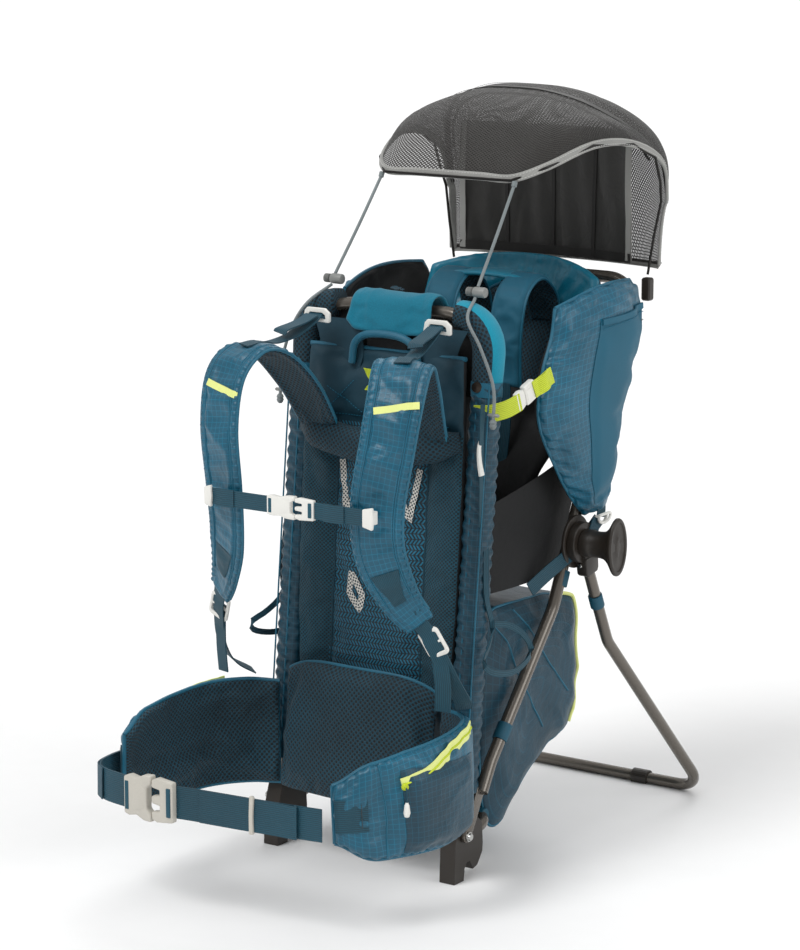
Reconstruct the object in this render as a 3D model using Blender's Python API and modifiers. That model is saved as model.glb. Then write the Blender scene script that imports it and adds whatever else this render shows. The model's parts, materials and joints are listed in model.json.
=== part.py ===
"""Baby carrier backpack: a child seat on a tubular frame, with a harness, a hip belt and a sun canopy.

Run with: blender --background --python part.py
Metres, +Z up. The wearer's back is on the -Y side and the kickstand opens towards +Y. The model
is drawn about the two feet, then the empty `carrier` moves it so that the origin is under the
middle of the whole object.
"""

import math

import bmesh
import bpy
from mathutils import Matrix, Vector

# ---------------------------------------------------------------- driving dimensions
GAP = 0.0003  # clearance between pieces that touch
FRONT_Y = -0.300  # face of the hip buckle
REAR_Y = 0.507  # back of the clip on the kickstand's crossbar
CENTRE_Y = (FRONT_Y + REAR_Y) / 2

HALF_TRACK = 0.135  # half the spacing of the two legs of the back frame
FRAME_R = 0.008
FRAME_TOP = 0.690  # centre line of the arch
ARCH_CORNER = 0.065
LEAN = 0.10  # rearward lean of the back frame, metres per metre of height
FOOT_Y = 0.012

REAR_TUBE_X = 0.150
REAR_TUBE_R = 0.008
STAND_R = 0.0075
CLIP_WALL = 0.0025
CROSSBAR_Y = REAR_Y - CLIP_WALL - GAP - STAND_R
HUB_Y = 0.238
HUB_Z = 0.388
HUB_PLATE_X = (0.1585, 0.1630)
LUG_X = (0.1633, 0.1797)
KNOB_FACE_X = 0.225
KNOB_STEM_R = 0.0060
KNOB_BASE_R = 0.0178
RUNNING_GAP = 0.0008  # clearance round the knob, which the lug turns about

BELT_WIDTH = 0.040
STERNUM_WIDTH = 0.020
STERNUM_Y = -0.150
STERNUM_Z = 0.480
WEBBING = 0.0016
CORD_R = 0.002

CANOPY_PIVOT_Y = 0.424
CANOPY_PIVOT_Z = 0.690

# ---------------------------------------------------------------- colours (linear RGB), roughness, metallic
TUBE_PAINT = ((0.055, 0.050, 0.045), 0.30, 0.6)
BLACK_PLASTIC = ((0.020, 0.018, 0.016), 0.45, 0.0)
WHITE_PLASTIC = ((0.80, 0.79, 0.75), 0.40, 0.0)
GREY_PLASTIC = ((0.20, 0.20, 0.20), 0.45, 0.0)
ZINC = ((0.60, 0.60, 0.60), 0.30, 1.0)
STEEL_WIRE = ((0.10, 0.10, 0.10), 0.35, 1.0)
RIPSTOP = ((0.010, 0.140, 0.230), 0.55, 0.0)
MESH_TEAL = ((0.005, 0.055, 0.080), 0.90, 0.0)
WEB_TEAL = ((0.004, 0.060, 0.090), 0.80, 0.0)
FLEECE_CYAN = ((0.004, 0.230, 0.340), 0.95, 0.0)
CANOPY_BLACK = ((0.015, 0.013, 0.012), 0.85, 0.0)
CORD_GREY = ((0.25, 0.25, 0.25), 0.80, 0.0)


# ---------------------------------------------------------------- scene helpers
def clear_scene():
    for old in list(bpy.data.objects):
        bpy.data.objects.remove(old)


def new_collection(name):
    made = bpy.data.collections.new(name)
    bpy.context.scene.collection.children.link(made)
    return made


def material(name, finish):
    """A Principled material with this finish's colour, roughness and metallic value."""
    colour, roughness, metallic = finish
    made = bpy.data.materials.new(name)
    made.use_nodes = True
    shader = made.node_tree.nodes["Principled BSDF"]
    shader.inputs["Base Color"].default_value = (*colour, 1.0)
    shader.inputs["Roughness"].default_value = roughness
    shader.inputs["Metallic"].default_value = metallic
    return made


def empty(name, location, parent=None):
    made = bpy.data.objects.new(name, None)
    made.location = location
    made.parent = parent
    PARTS.objects.link(made)
    return made


def place_of(pivot):
    """Where this pivot sits from the feet's origin, through any pivots above it."""
    place = Vector()
    while pivot is not CARRIER:
        place += pivot.location
        pivot = pivot.parent
    return place


def finish_piece(obj, finish, pivot, smooth=True):
    """Gives the piece its material and parent. Its mesh is drawn about the feet, not about the pivot."""
    obj.data.materials.clear()
    obj.data.materials.append(material(obj.name, finish))
    helpers = [step.object for step in obj.modifiers if step.type == "BOOLEAN"]
    for moved in [obj, *helpers]:
        moved.parent = pivot
        moved.location = -place_of(pivot)
    if smooth and obj.type == "MESH":
        obj.data.shade_smooth()
        obj.data.set_sharp_from_angle(angle=math.radians(40))
    return obj


# ---------------------------------------------------------------- shape helpers
def rounded_path(corners, radius, steps=6):
    """The polyline through the corners with every inner corner rounded to an arc of this radius."""
    corners = [Vector(corner) for corner in corners]
    path = [corners[0]]
    for before, corner, after in zip(corners, corners[1:], corners[2:]):
        back = (before - corner).normalized()
        ahead = (after - corner).normalized()
        half = back.angle(ahead) / 2
        reach = min(radius / math.tan(half), 0.49 * (before - corner).length,
                    0.49 * (after - corner).length)
        bend_radius = reach * math.tan(half)
        middle = corner + (back + ahead).normalized() * (bend_radius / math.sin(half))
        first = corner + back * reach - middle
        last = corner + ahead * reach - middle
        turn = first.angle(last)
        for step in range(steps + 1):
            part = step / steps
            near = math.sin((1 - part) * turn) / math.sin(turn)
            far = math.sin(part * turn) / math.sin(turn)
            path.append(middle + first * near + last * far)
    path.append(corners[-1])
    return path


def smooth_path(knots, steps):
    """Points along a smooth Catmull-Rom curve through the knots."""
    knots = [Vector(knot) for knot in knots]
    ends = [2 * knots[0] - knots[1], *knots, 2 * knots[-1] - knots[-2]]
    path = []
    for index in range(1, len(ends) - 2):
        before, start, end, after = ends[index - 1 : index + 3]
        for step in range(steps):
            t = step / steps
            path.append(
                0.5
                * (
                    2 * start
                    + (end - before) * t
                    + (2 * before - 5 * start + 4 * end - after) * t**2
                    + (3 * start - before - 3 * end + after) * t**3
                )
            )
    path.append(knots[-1])
    return path


def even_points(path, count):
    """The same path with its points spaced evenly."""
    lengths = [0.0]
    for first, second in zip(path, path[1:]):
        lengths.append(lengths[-1] + (second - first).length)
    result = []
    index = 0
    for step in range(count + 1):
        wanted = lengths[-1] * step / count
        while index < len(lengths) - 2 and lengths[index + 1] < wanted:
            index += 1
        span = lengths[index + 1] - lengths[index]
        result.append(path[index].lerp(path[index + 1], (wanted - lengths[index]) / span))
    return result


def wire_curve(name, path, radius, resolution=3):
    data = bpy.data.curves.new(name, "CURVE")
    data.dimensions = "3D"
    data.bevel_depth = radius
    data.bevel_resolution = resolution
    data.use_fill_caps = True
    spline = data.splines.new("POLY")
    spline.points.add(len(path) - 1)
    for point, place in zip(spline.points, path):
        point.co = (*place, 1.0)
    spline.use_smooth = True
    return bpy.data.objects.new(name, data)


def tube(name, path, radius, finish, pivot, resolution=3):
    """A round tube, bar or cord along the path."""
    made = wire_curve(name, path, radius, resolution)
    PARTS.objects.link(made)
    return finish_piece(made, finish, pivot)


def to_mesh(curve_object, collection):
    """Turns a curve object into a closed mesh object and removes the curve."""
    if not curve_object.users_collection:
        collection.objects.link(curve_object)
    bpy.context.view_layer.update()
    graph = bpy.context.evaluated_depsgraph_get()
    name = curve_object.name
    mesh = bpy.data.meshes.new_from_object(curve_object.evaluated_get(graph))
    bpy.data.objects.remove(curve_object)
    work = bmesh.new()
    work.from_mesh(mesh)
    bmesh.ops.remove_doubles(work, verts=work.verts, dist=0.00001)
    bmesh.ops.recalc_face_normals(work, faces=work.faces)
    work.to_mesh(mesh)
    work.free()
    made = bpy.data.objects.new(name, mesh)
    mesh.name = name
    collection.objects.link(made)
    return made


def outline_curve(name, corners, axis, low, high):
    """A flat outline between `low` and `high` along an axis: `X` takes (y, z) corners, `Y` takes (x, z)."""
    data = bpy.data.curves.new(name, "CURVE")
    data.dimensions = "2D"
    data.fill_mode = "BOTH"
    data.extrude = (high - low) / 2
    spline = data.splines.new("POLY")
    spline.points.add(len(corners) - 1)
    for point, (first, second) in zip(spline.points, corners):
        point.co = (first, second, 0.0, 1.0)
    spline.use_cyclic_u = True
    made = bpy.data.objects.new(name, data)
    if axis == "X":
        turn = Matrix(((0, 0, 1), (1, 0, 0), (0, 1, 0))).to_4x4()
        move = Matrix.Translation(((low + high) / 2, 0, 0))
    else:
        turn = Matrix(((1, 0, 0), (0, 0, -1), (0, 1, 0))).to_4x4()
        move = Matrix.Translation((0, (low + high) / 2, 0))
    made.matrix_world = move @ turn
    return made


def plate(name, corners, axis, low, high, finish, pivot, bevel=0.0, collection=None):
    """A flat plate as a mesh, with its place in its mesh."""
    corners = [(corner[0], corner[1]) for corner in corners]
    flat = outline_curve(name, corners, axis, low, high)
    place = flat.matrix_world.copy()
    made = to_mesh(flat, collection or PARTS)
    made.data.transform(place)
    recalculate(made)
    if finish is None:
        return made
    if bevel:
        add_bevel(made, bevel)
    return finish_piece(made, finish, pivot)


def recalculate(obj):
    work = bmesh.new()
    work.from_mesh(obj.data)
    bmesh.ops.recalc_face_normals(work, faces=work.faces)
    work.to_mesh(obj.data)
    work.free()


def rounded_outline(corners, radius, steps=3):
    """A closed outline with each corner rounded."""
    corners = [Vector((first, second, 0)) for first, second in corners]
    loop = [corners[-1], *corners, corners[0]]
    starts = rounded_path(loop, radius, steps)[1:-1]
    return [(point.x, point.y) for point in starts]


def round_bar(start, end, width, steps=5):
    """A slot-shaped outline: a bar with round ends between two centres."""
    (first_y, first_z), (last_y, last_z) = start, end
    angle = math.atan2(last_z - first_z, last_y - first_y)
    outline = []
    for centre, base in (((last_y, last_z), angle - math.pi / 2),
                         ((first_y, first_z), angle + math.pi / 2)):
        for step in range(steps + 1):
            direction = base + math.pi * step / steps
            outline.append((centre[0] + width / 2 * math.cos(direction),
                            centre[1] + width / 2 * math.sin(direction)))
    return outline


def add_bevel(obj, width, segments=1):
    bevel = obj.modifiers.new("round_edges", "BEVEL")
    bevel.width = width
    bevel.segments = segments
    bevel.limit_method = "ANGLE"
    bevel.angle_limit = math.radians(50)


def block(name, centre, size, finish, pivot, bevel=0.0, turn=None):
    """A box with rounded edges."""
    work = bmesh.new()
    bmesh.ops.create_cube(work, size=1.0)
    matrix = Matrix.Translation(centre) @ (turn or Matrix()) @ Matrix.Diagonal((*size, 1.0))
    bmesh.ops.transform(work, matrix=matrix, verts=work.verts)
    mesh = bpy.data.meshes.new(name)
    work.to_mesh(mesh)
    work.free()
    made = bpy.data.objects.new(name, mesh)
    PARTS.objects.link(made)
    if bevel:
        add_bevel(made, bevel)
    return finish_piece(made, finish, pivot)


def round_solid(name, sections, centre, finish, pivot, axis="X", sides=20):
    """A closed loft of ellipses along an axis. Each section is (place, half width, half height)."""
    work = bmesh.new()
    rings = []
    for place, half_width, half_height in sections:
        ring = []
        for step in range(sides):
            angle = 2 * math.pi * step / sides
            across, up = half_width * math.cos(angle), half_height * math.sin(angle)
            if axis == "X":
                ring.append(work.verts.new((place, centre[0] + across, centre[1] + up)))
            else:
                ring.append(work.verts.new((centre[0] + across, place, centre[1] + up)))
        rings.append(ring)
    for first, second in zip(rings, rings[1:]):
        for step in range(sides):
            following = (step + 1) % sides
            work.faces.new((first[step], first[following], second[following], second[step]))
    work.faces.new(rings[0])
    work.faces.new(rings[-1])
    bmesh.ops.recalc_face_normals(work, faces=work.faces)
    mesh = bpy.data.meshes.new(name)
    work.to_mesh(mesh)
    work.free()
    made = bpy.data.objects.new(name, mesh)
    if finish is None:
        CUTTERS.objects.link(made)
        return made
    PARTS.objects.link(made)
    return finish_piece(made, finish, pivot)


def boolean(obj, other, operation):
    """Joins or cuts with another mesh, which becomes a hidden helper."""
    for collection in list(other.users_collection):
        collection.objects.unlink(other)
    CUTTERS.objects.link(other)
    other.parent = obj.parent
    other.location = obj.location
    other.hide_render = True
    other.display_type = "WIRE"
    step = obj.modifiers.new(other.name, "BOOLEAN")
    step.operation = operation
    step.object = other


def cutter_tube(name, path, radius):
    return to_mesh(wire_curve(name, path, radius, 3), CUTTERS)


def sheet(name, place, columns, rows, thickness, finish, pivot, offset=0.0, levels=0):
    """A padded or woven panel: the open surface place(u, v), u and v from 0 to 1, with Solidify."""
    work = bmesh.new()
    bmesh.ops.create_grid(work, x_segments=columns, y_segments=rows, size=0.5)
    for vertex in work.verts:
        vertex.co = place(min(max(vertex.co.x + 0.5, 0.0), 1.0), min(max(vertex.co.y + 0.5, 0.0), 1.0))
    mesh = bpy.data.meshes.new(name)
    work.to_mesh(mesh)
    work.free()
    made = bpy.data.objects.new(name, mesh)
    PARTS.objects.link(made)
    solid = made.modifiers.new("thickness", "SOLIDIFY")
    solid.thickness = thickness
    solid.offset = offset
    solid.use_even_offset = True
    if levels:
        subdivide = made.modifiers.new("round", "SUBSURF")
        subdivide.levels = levels
        subdivide.render_levels = levels
    return finish_piece(made, finish, pivot)


def ribbon(name, path, widths, across, thickness, finish, pivot, columns=24, rows=1, offset=0.0):
    """A strap along a path. `across(t)` gives its width direction and `widths(t)` its width."""
    path = even_points(path, columns)

    def place(u, v):
        spot = u * columns
        index = min(int(spot), columns - 1)
        centre = path[index].lerp(path[index + 1], spot - index)
        return centre + Vector(across(u)).normalized() * (v - 0.5) * widths(u)

    return sheet(name, place, columns, rows, thickness, finish, pivot, offset)


def blend(values, t):
    """Linear interpolation in a list of evenly spaced values."""
    spot = min(max(t, 0.0), 1.0) * (len(values) - 1)
    index = min(int(spot), len(values) - 2)
    return values[index] + (values[index + 1] - values[index]) * (spot - index)


def mirrored(points, side):
    return [Vector((side * point[0], point[1], point[2])) for point in points]


def frame_y(z):
    """The centre line of the leaning back frame."""
    return FOOT_Y + LEAN * z


def panel_y(z):
    """The front face of the padded back, which leans less than the frame."""
    return 0.073 * z


# ---------------------------------------------------------------- frame
def arch_path(bottom):
    """The inverted U of the back frame, down to this height on both legs."""
    below = min(bottom, FRAME_TOP - 3 * ARCH_CORNER)
    corners = [(side * HALF_TRACK, frame_y(z), z) for side,
               z in ((1, below), (1, FRAME_TOP), (-1, FRAME_TOP), (-1, below))]
    path = rounded_path(corners, ARCH_CORNER, 8)
    path[0] = Vector((HALF_TRACK, frame_y(bottom), bottom))
    path[-1] = Vector((-HALF_TRACK, frame_y(bottom), bottom))
    return path


def build_main_frame():
    tube("main_frame", arch_path(0.050), FRAME_R, TUBE_PAINT, CARRIER)


def lower_loop_path():
    corners = []
    for side in (1, -1):
        ends = [(side * HALF_TRACK, 0.0335, 0.050), (side * HALF_TRACK, 0.086, 0.062)]
        corners += ends if side == 1 else ends[::-1]
    return rounded_path(corners, 0.030, 5)


def build_foot_bracket(name, side):
    leg = [(-0.012, 0.0), (0.010, 0.0), (0.012, 0.016), (0.016, 0.022), (0.022, 0.022), (0.026, 0.016)]
    hook = [(0.030, 0.010), (0.040, 0.013), (0.051, 0.028), (0.052, 0.040)]
    socket = [(0.050, 0.066), (0.034, 0.080), (0.000, 0.080), (-0.010, 0.050)]
    low, high = sorted((side * 0.124, side * 0.1465))
    bracket = plate(name, leg + hook + socket, "X", low, high, None, None)
    boolean(bracket, cutter_tube(name + "_leg_hole", mirrored(
        [(HALF_TRACK, frame_y(0.049), 0.049), (HALF_TRACK, frame_y(0.120), 0.120)], side), FRAME_R + GAP),
            "DIFFERENCE")
    boolean(bracket, cutter_tube(name + "_loop_hole", mirrored(
        [(HALF_TRACK, 0.0331, 0.0499), (HALF_TRACK, 0.0730, 0.0590)], side), STAND_R + 2 * GAP),
            "DIFFERENCE")
    finish_piece(bracket, BLACK_PLASTIC, CARRIER)
    return bracket


def rear_frame_path():
    half = [
        (REAR_TUBE_X + 0.0035, 0.037, 0.108),
        (REAR_TUBE_X, 0.062, 0.140),
        (REAR_TUBE_X, 0.202, 0.306),
        (REAR_TUBE_X, HUB_Y + 0.002, HUB_Z),
        (REAR_TUBE_X, 0.265, 0.440),
        (REAR_TUBE_X - 0.002, 0.372, 0.620),
        (REAR_TUBE_X - 0.004, 0.407, 0.700),
    ]
    return rounded_path(half + mirrored(half[::-1], -1), 0.045, 5)


def build_rear_frame():
    made = to_mesh(wire_curve("rear_frame", rear_frame_path(), REAR_TUBE_R, 3), PARTS)
    for side, label in ((1, "right"), (-1, "left")):
        low, high = sorted((side * 0.1469, side * 0.1525))
        end = plate(f"rear_frame_flat_{label}", round_bar((0.010, 0.058), (0.039, 0.112), 0.0165), "X", low,
                    high,
                    None, None, collection=CUTTERS)
        boolean(made, end, "UNION")
        hole = cutter_tube(f"rear_frame_hole_{label}",
                           mirrored([(0.140, 0.010, 0.058), (0.160, 0.010, 0.058)], side),
                           0.0030 + GAP)
        boolean(made, hole, "DIFFERENCE")
    finish_piece(made, TUBE_PAINT, CARRIER)


def build_foot_bolt(name, side):
    sections = []
    for x, radius in ((0.1470, 0.0025), (0.1529, 0.0025), (0.1529, 0.0062), (0.1545, 0.0062),
                      (0.1545, 0.0048), (0.1570, 0.0042)):
        sections.append((side * x, radius, radius))
    round_solid(name, sections, (0.010, 0.058), ZINC, CARRIER, sides=16)


def build_hub(name, side):
    low, high = sorted((side * HUB_PLATE_X[0], side * HUB_PLATE_X[1]))
    disc = [(HUB_Y + 0.031 * math.cos(a), HUB_Z + 0.034 * math.sin(a)) for a in circle_angles(20)]
    made = plate(name, disc, "X", low, high, None, None)
    boolean(made, knob_cutter(name + "_bore", side, (0.157, 0.165), KNOB_STEM_R), "DIFFERENCE")
    finish_piece(made, BLACK_PLASTIC, CARRIER)


def knob_cutter(name, side, span, radius):
    """A round hole on the knob's axis with room for the knob to slide and for the lug to turn."""
    wall = radius + RUNNING_GAP
    return round_solid(name, [(side * x, wall, wall) for x in span], (HUB_Y, HUB_Z), None, None, sides=24)


def circle_angles(count):
    return [2 * math.pi * step / count for step in range(count)]


def build_knob(name, side, pivot):
    sections = [
        (0.1642, KNOB_STEM_R, KNOB_STEM_R),
        (0.1745, KNOB_STEM_R, KNOB_STEM_R),
        (0.1745, KNOB_BASE_R, KNOB_BASE_R),
        (0.1880, KNOB_BASE_R, KNOB_BASE_R),
        (0.1960, 0.0150, 0.0170),
        (0.2050, 0.0145, 0.0180),
        (0.2130, 0.0165, 0.0250),
        (0.2180, 0.0195, 0.0335),
        (0.2200, 0.0208, 0.0372),
        (0.2225, 0.0208, 0.0372),
        (KNOB_FACE_X, 0.0190, 0.0345),
    ]
    placed = [(side * x, across, up) for x, across, up in sections]
    round_solid(name, placed, (HUB_Y, HUB_Z), BLACK_PLASTIC, pivot, sides=24)


# ---------------------------------------------------------------- kickstand
def stand_corners(side):
    return mirrored([(0.1715, 0.251, 0.352), (0.1720, 0.300, 0.247), (0.2050, CROSSBAR_Y, STAND_R)], side)


def build_kickstand(pivot):
    corners = stand_corners(1) + stand_corners(-1)[::-1]
    tube("kickstand_tube", rounded_path(corners, 0.034, 6), STAND_R, TUBE_PAINT, pivot)
    for side, label in ((1, "right"), (-1, "left")):
        build_lug(f"kickstand_lug_{label}", side, pivot)
        rivet = [(0.2312, 0.0020, 0.0020), (0.2322, 0.0027, 0.0027), (0.2335, 0.0027, 0.0027)]
        round_solid(f"leg_rivet_{label}", rivet, (side * 0.1715, 0.3585), ZINC, pivot, axis="Y", sides=12)
    build_clip(pivot)


def build_lug(name, side, pivot):
    """The rotating half of the hub: a disc with an arm that holds the leg's top end."""
    low, high = sorted((side * LUG_X[0], side * LUG_X[1]))
    disc = [(HUB_Y + 0.0265 * math.cos(a), HUB_Z + 0.0265 * math.sin(a)) for a in circle_angles(20)]
    made = plate(name, disc, "X", low, high, None, None)
    arm = plate(name + "_arm", [(0.2372, 0.345), (0.2640, 0.350), (0.2610, 0.385), (0.2300, 0.380)], "X",
                low, high, None, None)
    boolean(made, arm, "UNION")
    boolean(made, knob_cutter(name + "_bore", side, (0.160, 0.185), KNOB_STEM_R), "DIFFERENCE")
    boolean(made, knob_cutter(name + "_recess", side, (0.1692, 0.185), KNOB_BASE_R), "DIFFERENCE")
    top, knee = stand_corners(side)[:2]
    along = (top - knee).normalized()
    boolean(made, cutter_tube(name + "_socket", [knee, top + along * GAP], STAND_R + GAP), "DIFFERENCE")
    finish_piece(made, BLACK_PLASTIC, pivot)


def build_clip(pivot):
    """The snap clip on the crossbar: three quarters of a ring, open underneath."""
    inner, outer = STAND_R + GAP, STAND_R + GAP + CLIP_WALL
    start, sweep = math.radians(-44), math.radians(268)
    outline = []
    for radius, order in ((outer, range(15)), (inner, reversed(range(15)))):
        for step in order:
            angle = start + sweep * step / 14
            outline.append((CROSSBAR_Y + radius * math.cos(angle), STAND_R + radius * math.sin(angle)))
    plate("kickstand_clip", outline, "X", 0.098, 0.122, BLACK_PLASTIC, pivot)


# ---------------------------------------------------------------- padded back and handle
def build_back_panel():
    low_z, high_z = 0.205, 0.630

    def place(u, v):
        z = low_z + (high_z - low_z) * v
        half = blend([0.100, 0.112, 0.112, 0.112, 0.104], v)
        x = (2 * u - 1) * half
        hollow = 0.006 * (1 - (2 * u - 1) ** 2)
        return Vector((x, panel_y(z) + hollow, z))

    sheet("back_panel", place, 6, 8, 0.018, MESH_TEAL, CARRIER, offset=-1.0)


def build_top_rail_pad():
    """The foam sleeve on the arch of the back frame."""
    low = 0.600
    pad = to_mesh(wire_curve("top_rail_pad", arch_path(low), 0.017, 2), PARTS)
    boolean(pad, cutter_tube("top_rail_pad_bore", arch_path(low - 0.010), FRAME_R + 0.0010), "DIFFERENCE")
    finish_piece(pad, FLEECE_CYAN, CARRIER)


def build_handle_cover():
    y, z = frame_y(FRAME_TOP), FRAME_TOP
    radius = 0.0178
    profile = [Vector((0, y - radius - 0.006, 0.664))]
    profile += [Vector((0, y - radius * math.cos(a), z + radius * math.sin(a))) for a in
                (math.pi * step / 10 for step in range(11))]
    profile += [Vector((0, y + radius + 0.002, 0.664))]

    def place(u, v):
        spot = v * (len(profile) - 1)
        index = min(int(spot), len(profile) - 2)
        point = profile[index].lerp(profile[index + 1], spot - index)
        return Vector(((2 * u - 1) * 0.060, point.y, point.z))

    sheet("handle_cover", place, 4, len(profile) - 1, 0.004, FLEECE_CYAN, CARRIER, offset=1.0)


# ---------------------------------------------------------------- shoulder harness
STRAP_KNOTS = [
    (0.080, 0.024, 0.545),
    (0.088, -0.008, 0.598),
    (0.102, -0.046, 0.640),
    (0.116, -0.078, 0.648),
    (0.126, -0.106, 0.620),
    (0.124, -0.122, 0.560),
    (0.114, -0.127, 0.490),
    (0.114, -0.122, 0.430),
    (0.130, -0.106, 0.378),
    (0.150, -0.090, 0.345),
]


def strap_across(side):
    def across(t):
        return (1.0, side * blend([0.0, 0.05, 0.15, 0.22, 0.24, 0.24, 0.30, 0.40], t),
                side * blend([0, -0.05, -0.05, 0, 0, 0.25], t))
    return across


def build_shoulder_strap(name, side):
    path = smooth_path(mirrored(STRAP_KNOTS, side), 4)
    ribbon(name, path, lambda t: blend([0.058, 0.070, 0.072, 0.068, 0.066, 0.062, 0.040], t),
           strap_across(side), 0.013, RIPSTOP, CARRIER, columns=22, rows=3)


def build_lifter_hook(name, side):
    outline = rounded_outline([(-0.020, -0.007), (0.020, -0.009), (0.020, 0.004), (0.012, 0.009),
                               (-0.014, 0.009)], 0.003, 2)
    placed = [(side * 0.090 + x, 0.680 + z) for x, z in outline]
    plate(name, placed, "Y", 0.0300, 0.0345, WHITE_PLASTIC, CARRIER, bevel=0.0006)


def build_strap_adjuster(name, side):
    turn = Matrix.Rotation(side * math.radians(-24), 4, "Y") @ Matrix.Rotation(math.radians(16), 4, "X")
    centre = (side * 0.1605, -0.0785, 0.3230)
    made = block(name, centre, (0.030, 0.0045, 0.034), WHITE_PLASTIC, CARRIER, turn=turn)
    for label, height in (("upper", 0.0085), ("lower", -0.0085)):
        slot = block(f"{name}_{label}_slot", centre, (0.022, 0.02, 0.005), WHITE_PLASTIC, CARRIER,
                     turn=turn @ Matrix.Translation((0, 0, height)))
        boolean(made, slot, "DIFFERENCE")


def build_sternum(slider, release):
    """The chest strap: both halves slide up and down the harness, and the right half unclips."""
    y, z = STERNUM_Y, STERNUM_Z
    half = STERNUM_WIDTH / 2
    for label, start, end, body in (("left", -0.118, -0.0290, slider), ("right", 0.0400, 0.1220, release)):
        corners = [(start, z - half), (end, z - half), (end, z + half), (start, z + half)]
        plate(f"sternum_webbing_{label}", corners, "Y", y - WEBBING / 2, y + WEBBING / 2, WEB_TEAL, body)
    socket = rounded_outline([(-0.0285, -0.0125), (0.0120, -0.0145), (0.0120, 0.0145), (-0.0285, 0.0125)],
                             0.004, 2)
    tongue = rounded_outline([(0.0123, -0.0125), (0.0395, -0.0125), (0.0395, 0.0125), (0.0123, 0.0125)],
                             0.003, 2)
    plate("sternum_buckle_socket", [(x, z + up) for x, up in socket], "Y", y - 0.0045, y + 0.0035,
          WHITE_PLASTIC, slider, bevel=0.0008)
    plate("sternum_buckle_tongue", [(x, z + up) for x, up in tongue], "Y", y - 0.0035, y + 0.0028,
          WHITE_PLASTIC, release, bevel=0.0008)


# ---------------------------------------------------------------- hip belt
def wing_path(side):
    if side == 1:
        return smooth_path([(0.124, -0.004, 0.152), (0.160, -0.020, 0.153), (0.186, -0.060, 0.154),
                            (0.191, -0.110, 0.151),
                            (0.181, -0.160, 0.149), (0.160, -0.203, 0.145), (0.124, -0.231, 0.143)], 4)
    return smooth_path([(-0.124, -0.004, 0.150), (-0.160, -0.020, 0.150), (-0.185, -0.060, 0.151),
                        (-0.193, -0.110, 0.151),
                        (-0.195, -0.165, 0.151), (-0.192, -0.230, 0.152)], 4)


def build_lumbar_pad():
    def place(u, v):
        x = (2 * u - 1) * 0.112
        low = 0.085
        high = 0.252 - 0.018 * (2 * u - 1) ** 4
        z = low + (high - low) * v
        return Vector((x, -0.020 + 0.012 * (2 * u - 1) ** 2 + 0.02 * (v - 0.5), z))

    sheet("lumbar_pad", place, 8, 4, 0.026, MESH_TEAL, CARRIER)


def build_hip_wing(name, side):
    ribbon(name, wing_path(side), lambda t: blend([0.132, 0.134, 0.134, 0.132, 0.126, 0.116, 0.090], t),
           lambda t: (0, 0, 1), 0.024, RIPSTOP, CARRIER, columns=16, rows=4)


def build_hip_buckle(pivot):
    z = 0.140
    half = BELT_WIDTH / 2
    left = smooth_path([(-0.2085, -0.120, z), (-0.2105, -0.180, z), (-0.2100, -0.232, z),
                        (-0.2020, -0.262, z),
                        (-0.1800, -0.2800, z), (-0.1360, -0.2865, z)], 4)
    ribbon("hip_webbing_left", left, lambda t: BELT_WIDTH, lambda t: (0, 0, 1), 0.002, WEB_TEAL, CARRIER,
           columns=18)
    right = [Vector((-0.0610, -0.2865, z)), Vector((0.1350, -0.2650, z))]
    ribbon("hip_webbing_right", right, lambda t: BELT_WIDTH, lambda t: (0, 0, 1), 0.002, WEB_TEAL, pivot,
           columns=8)
    socket = rounded_outline([(-0.1350, -0.022), (-0.0940, -0.0285), (-0.0940, 0.0285), (-0.1350, 0.022)],
                             0.005, 3)
    tongue = rounded_outline([(-0.0937, -half), (-0.0620, -half - 0.002), (-0.0620, half + 0.002),
                              (-0.0937, half)], 0.004, 3)
    plate("hip_buckle_socket", [(x, z + up) for x, up in socket], "Y", FRONT_Y, -0.2880, WHITE_PLASTIC,
          CARRIER, bevel=0.0012)
    plate("hip_buckle_tongue", [(x, z + up) for x, up in tongue], "Y", -0.2975, -0.2882, WHITE_PLASTIC,
          pivot, bevel=0.0012)


# ---------------------------------------------------------------- child seat
def build_seat_back():
    """The padded wall behind the child, with the headrest at its top."""
    def place(u, v):
        across = 2 * u - 1
        z = 0.425 + 0.300 * v
        y = blend([0.238, 0.280, 0.322, 0.358, 0.378], v)
        return Vector((across * blend([0.105, 0.122, 0.134, 0.136, 0.128], v), y - 0.030 * across**2,
                       z - 0.010 * across**2))

    sheet("seat_back", place, 8, 8, 0.018, RIPSTOP, CARRIER)


def build_seat_base():
    """The sling that the child sits on, from the padded back down and up to the seat back."""
    section = smooth_path([(0, 0.085, 0.455), (0, 0.098, 0.385), (0, 0.135, 0.345), (0, 0.185, 0.342),
                           (0, 0.222, 0.385)], 4)
    section = even_points(section, 10)

    def place(u, v):
        across = 2 * u - 1
        spot = v * 10
        index = min(int(spot), 9)
        point = section[index].lerp(section[index + 1], spot - index)
        return Vector((across * 0.118, point.y, point.z + 0.022 * across**2 * (1 - v)))

    sheet("seat_base", place, 6, 10, 0.014, MESH_TEAL, CARRIER)


def build_seat_wing(name, side):
    corners = [(0.184, 0.692), (0.362, 0.702), (0.380, 0.655), (0.370, 0.612), (0.330, 0.520),
               (0.292, 0.426),
               (0.258, 0.426), (0.226, 0.446), (0.190, 0.486), (0.145, 0.552), (0.160, 0.610)]
    low, high = sorted((side * 0.1640, side * 0.1780))
    plate(name, rounded_outline(corners, 0.012, 2), "X", low, high, RIPSTOP, CARRIER)


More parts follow.
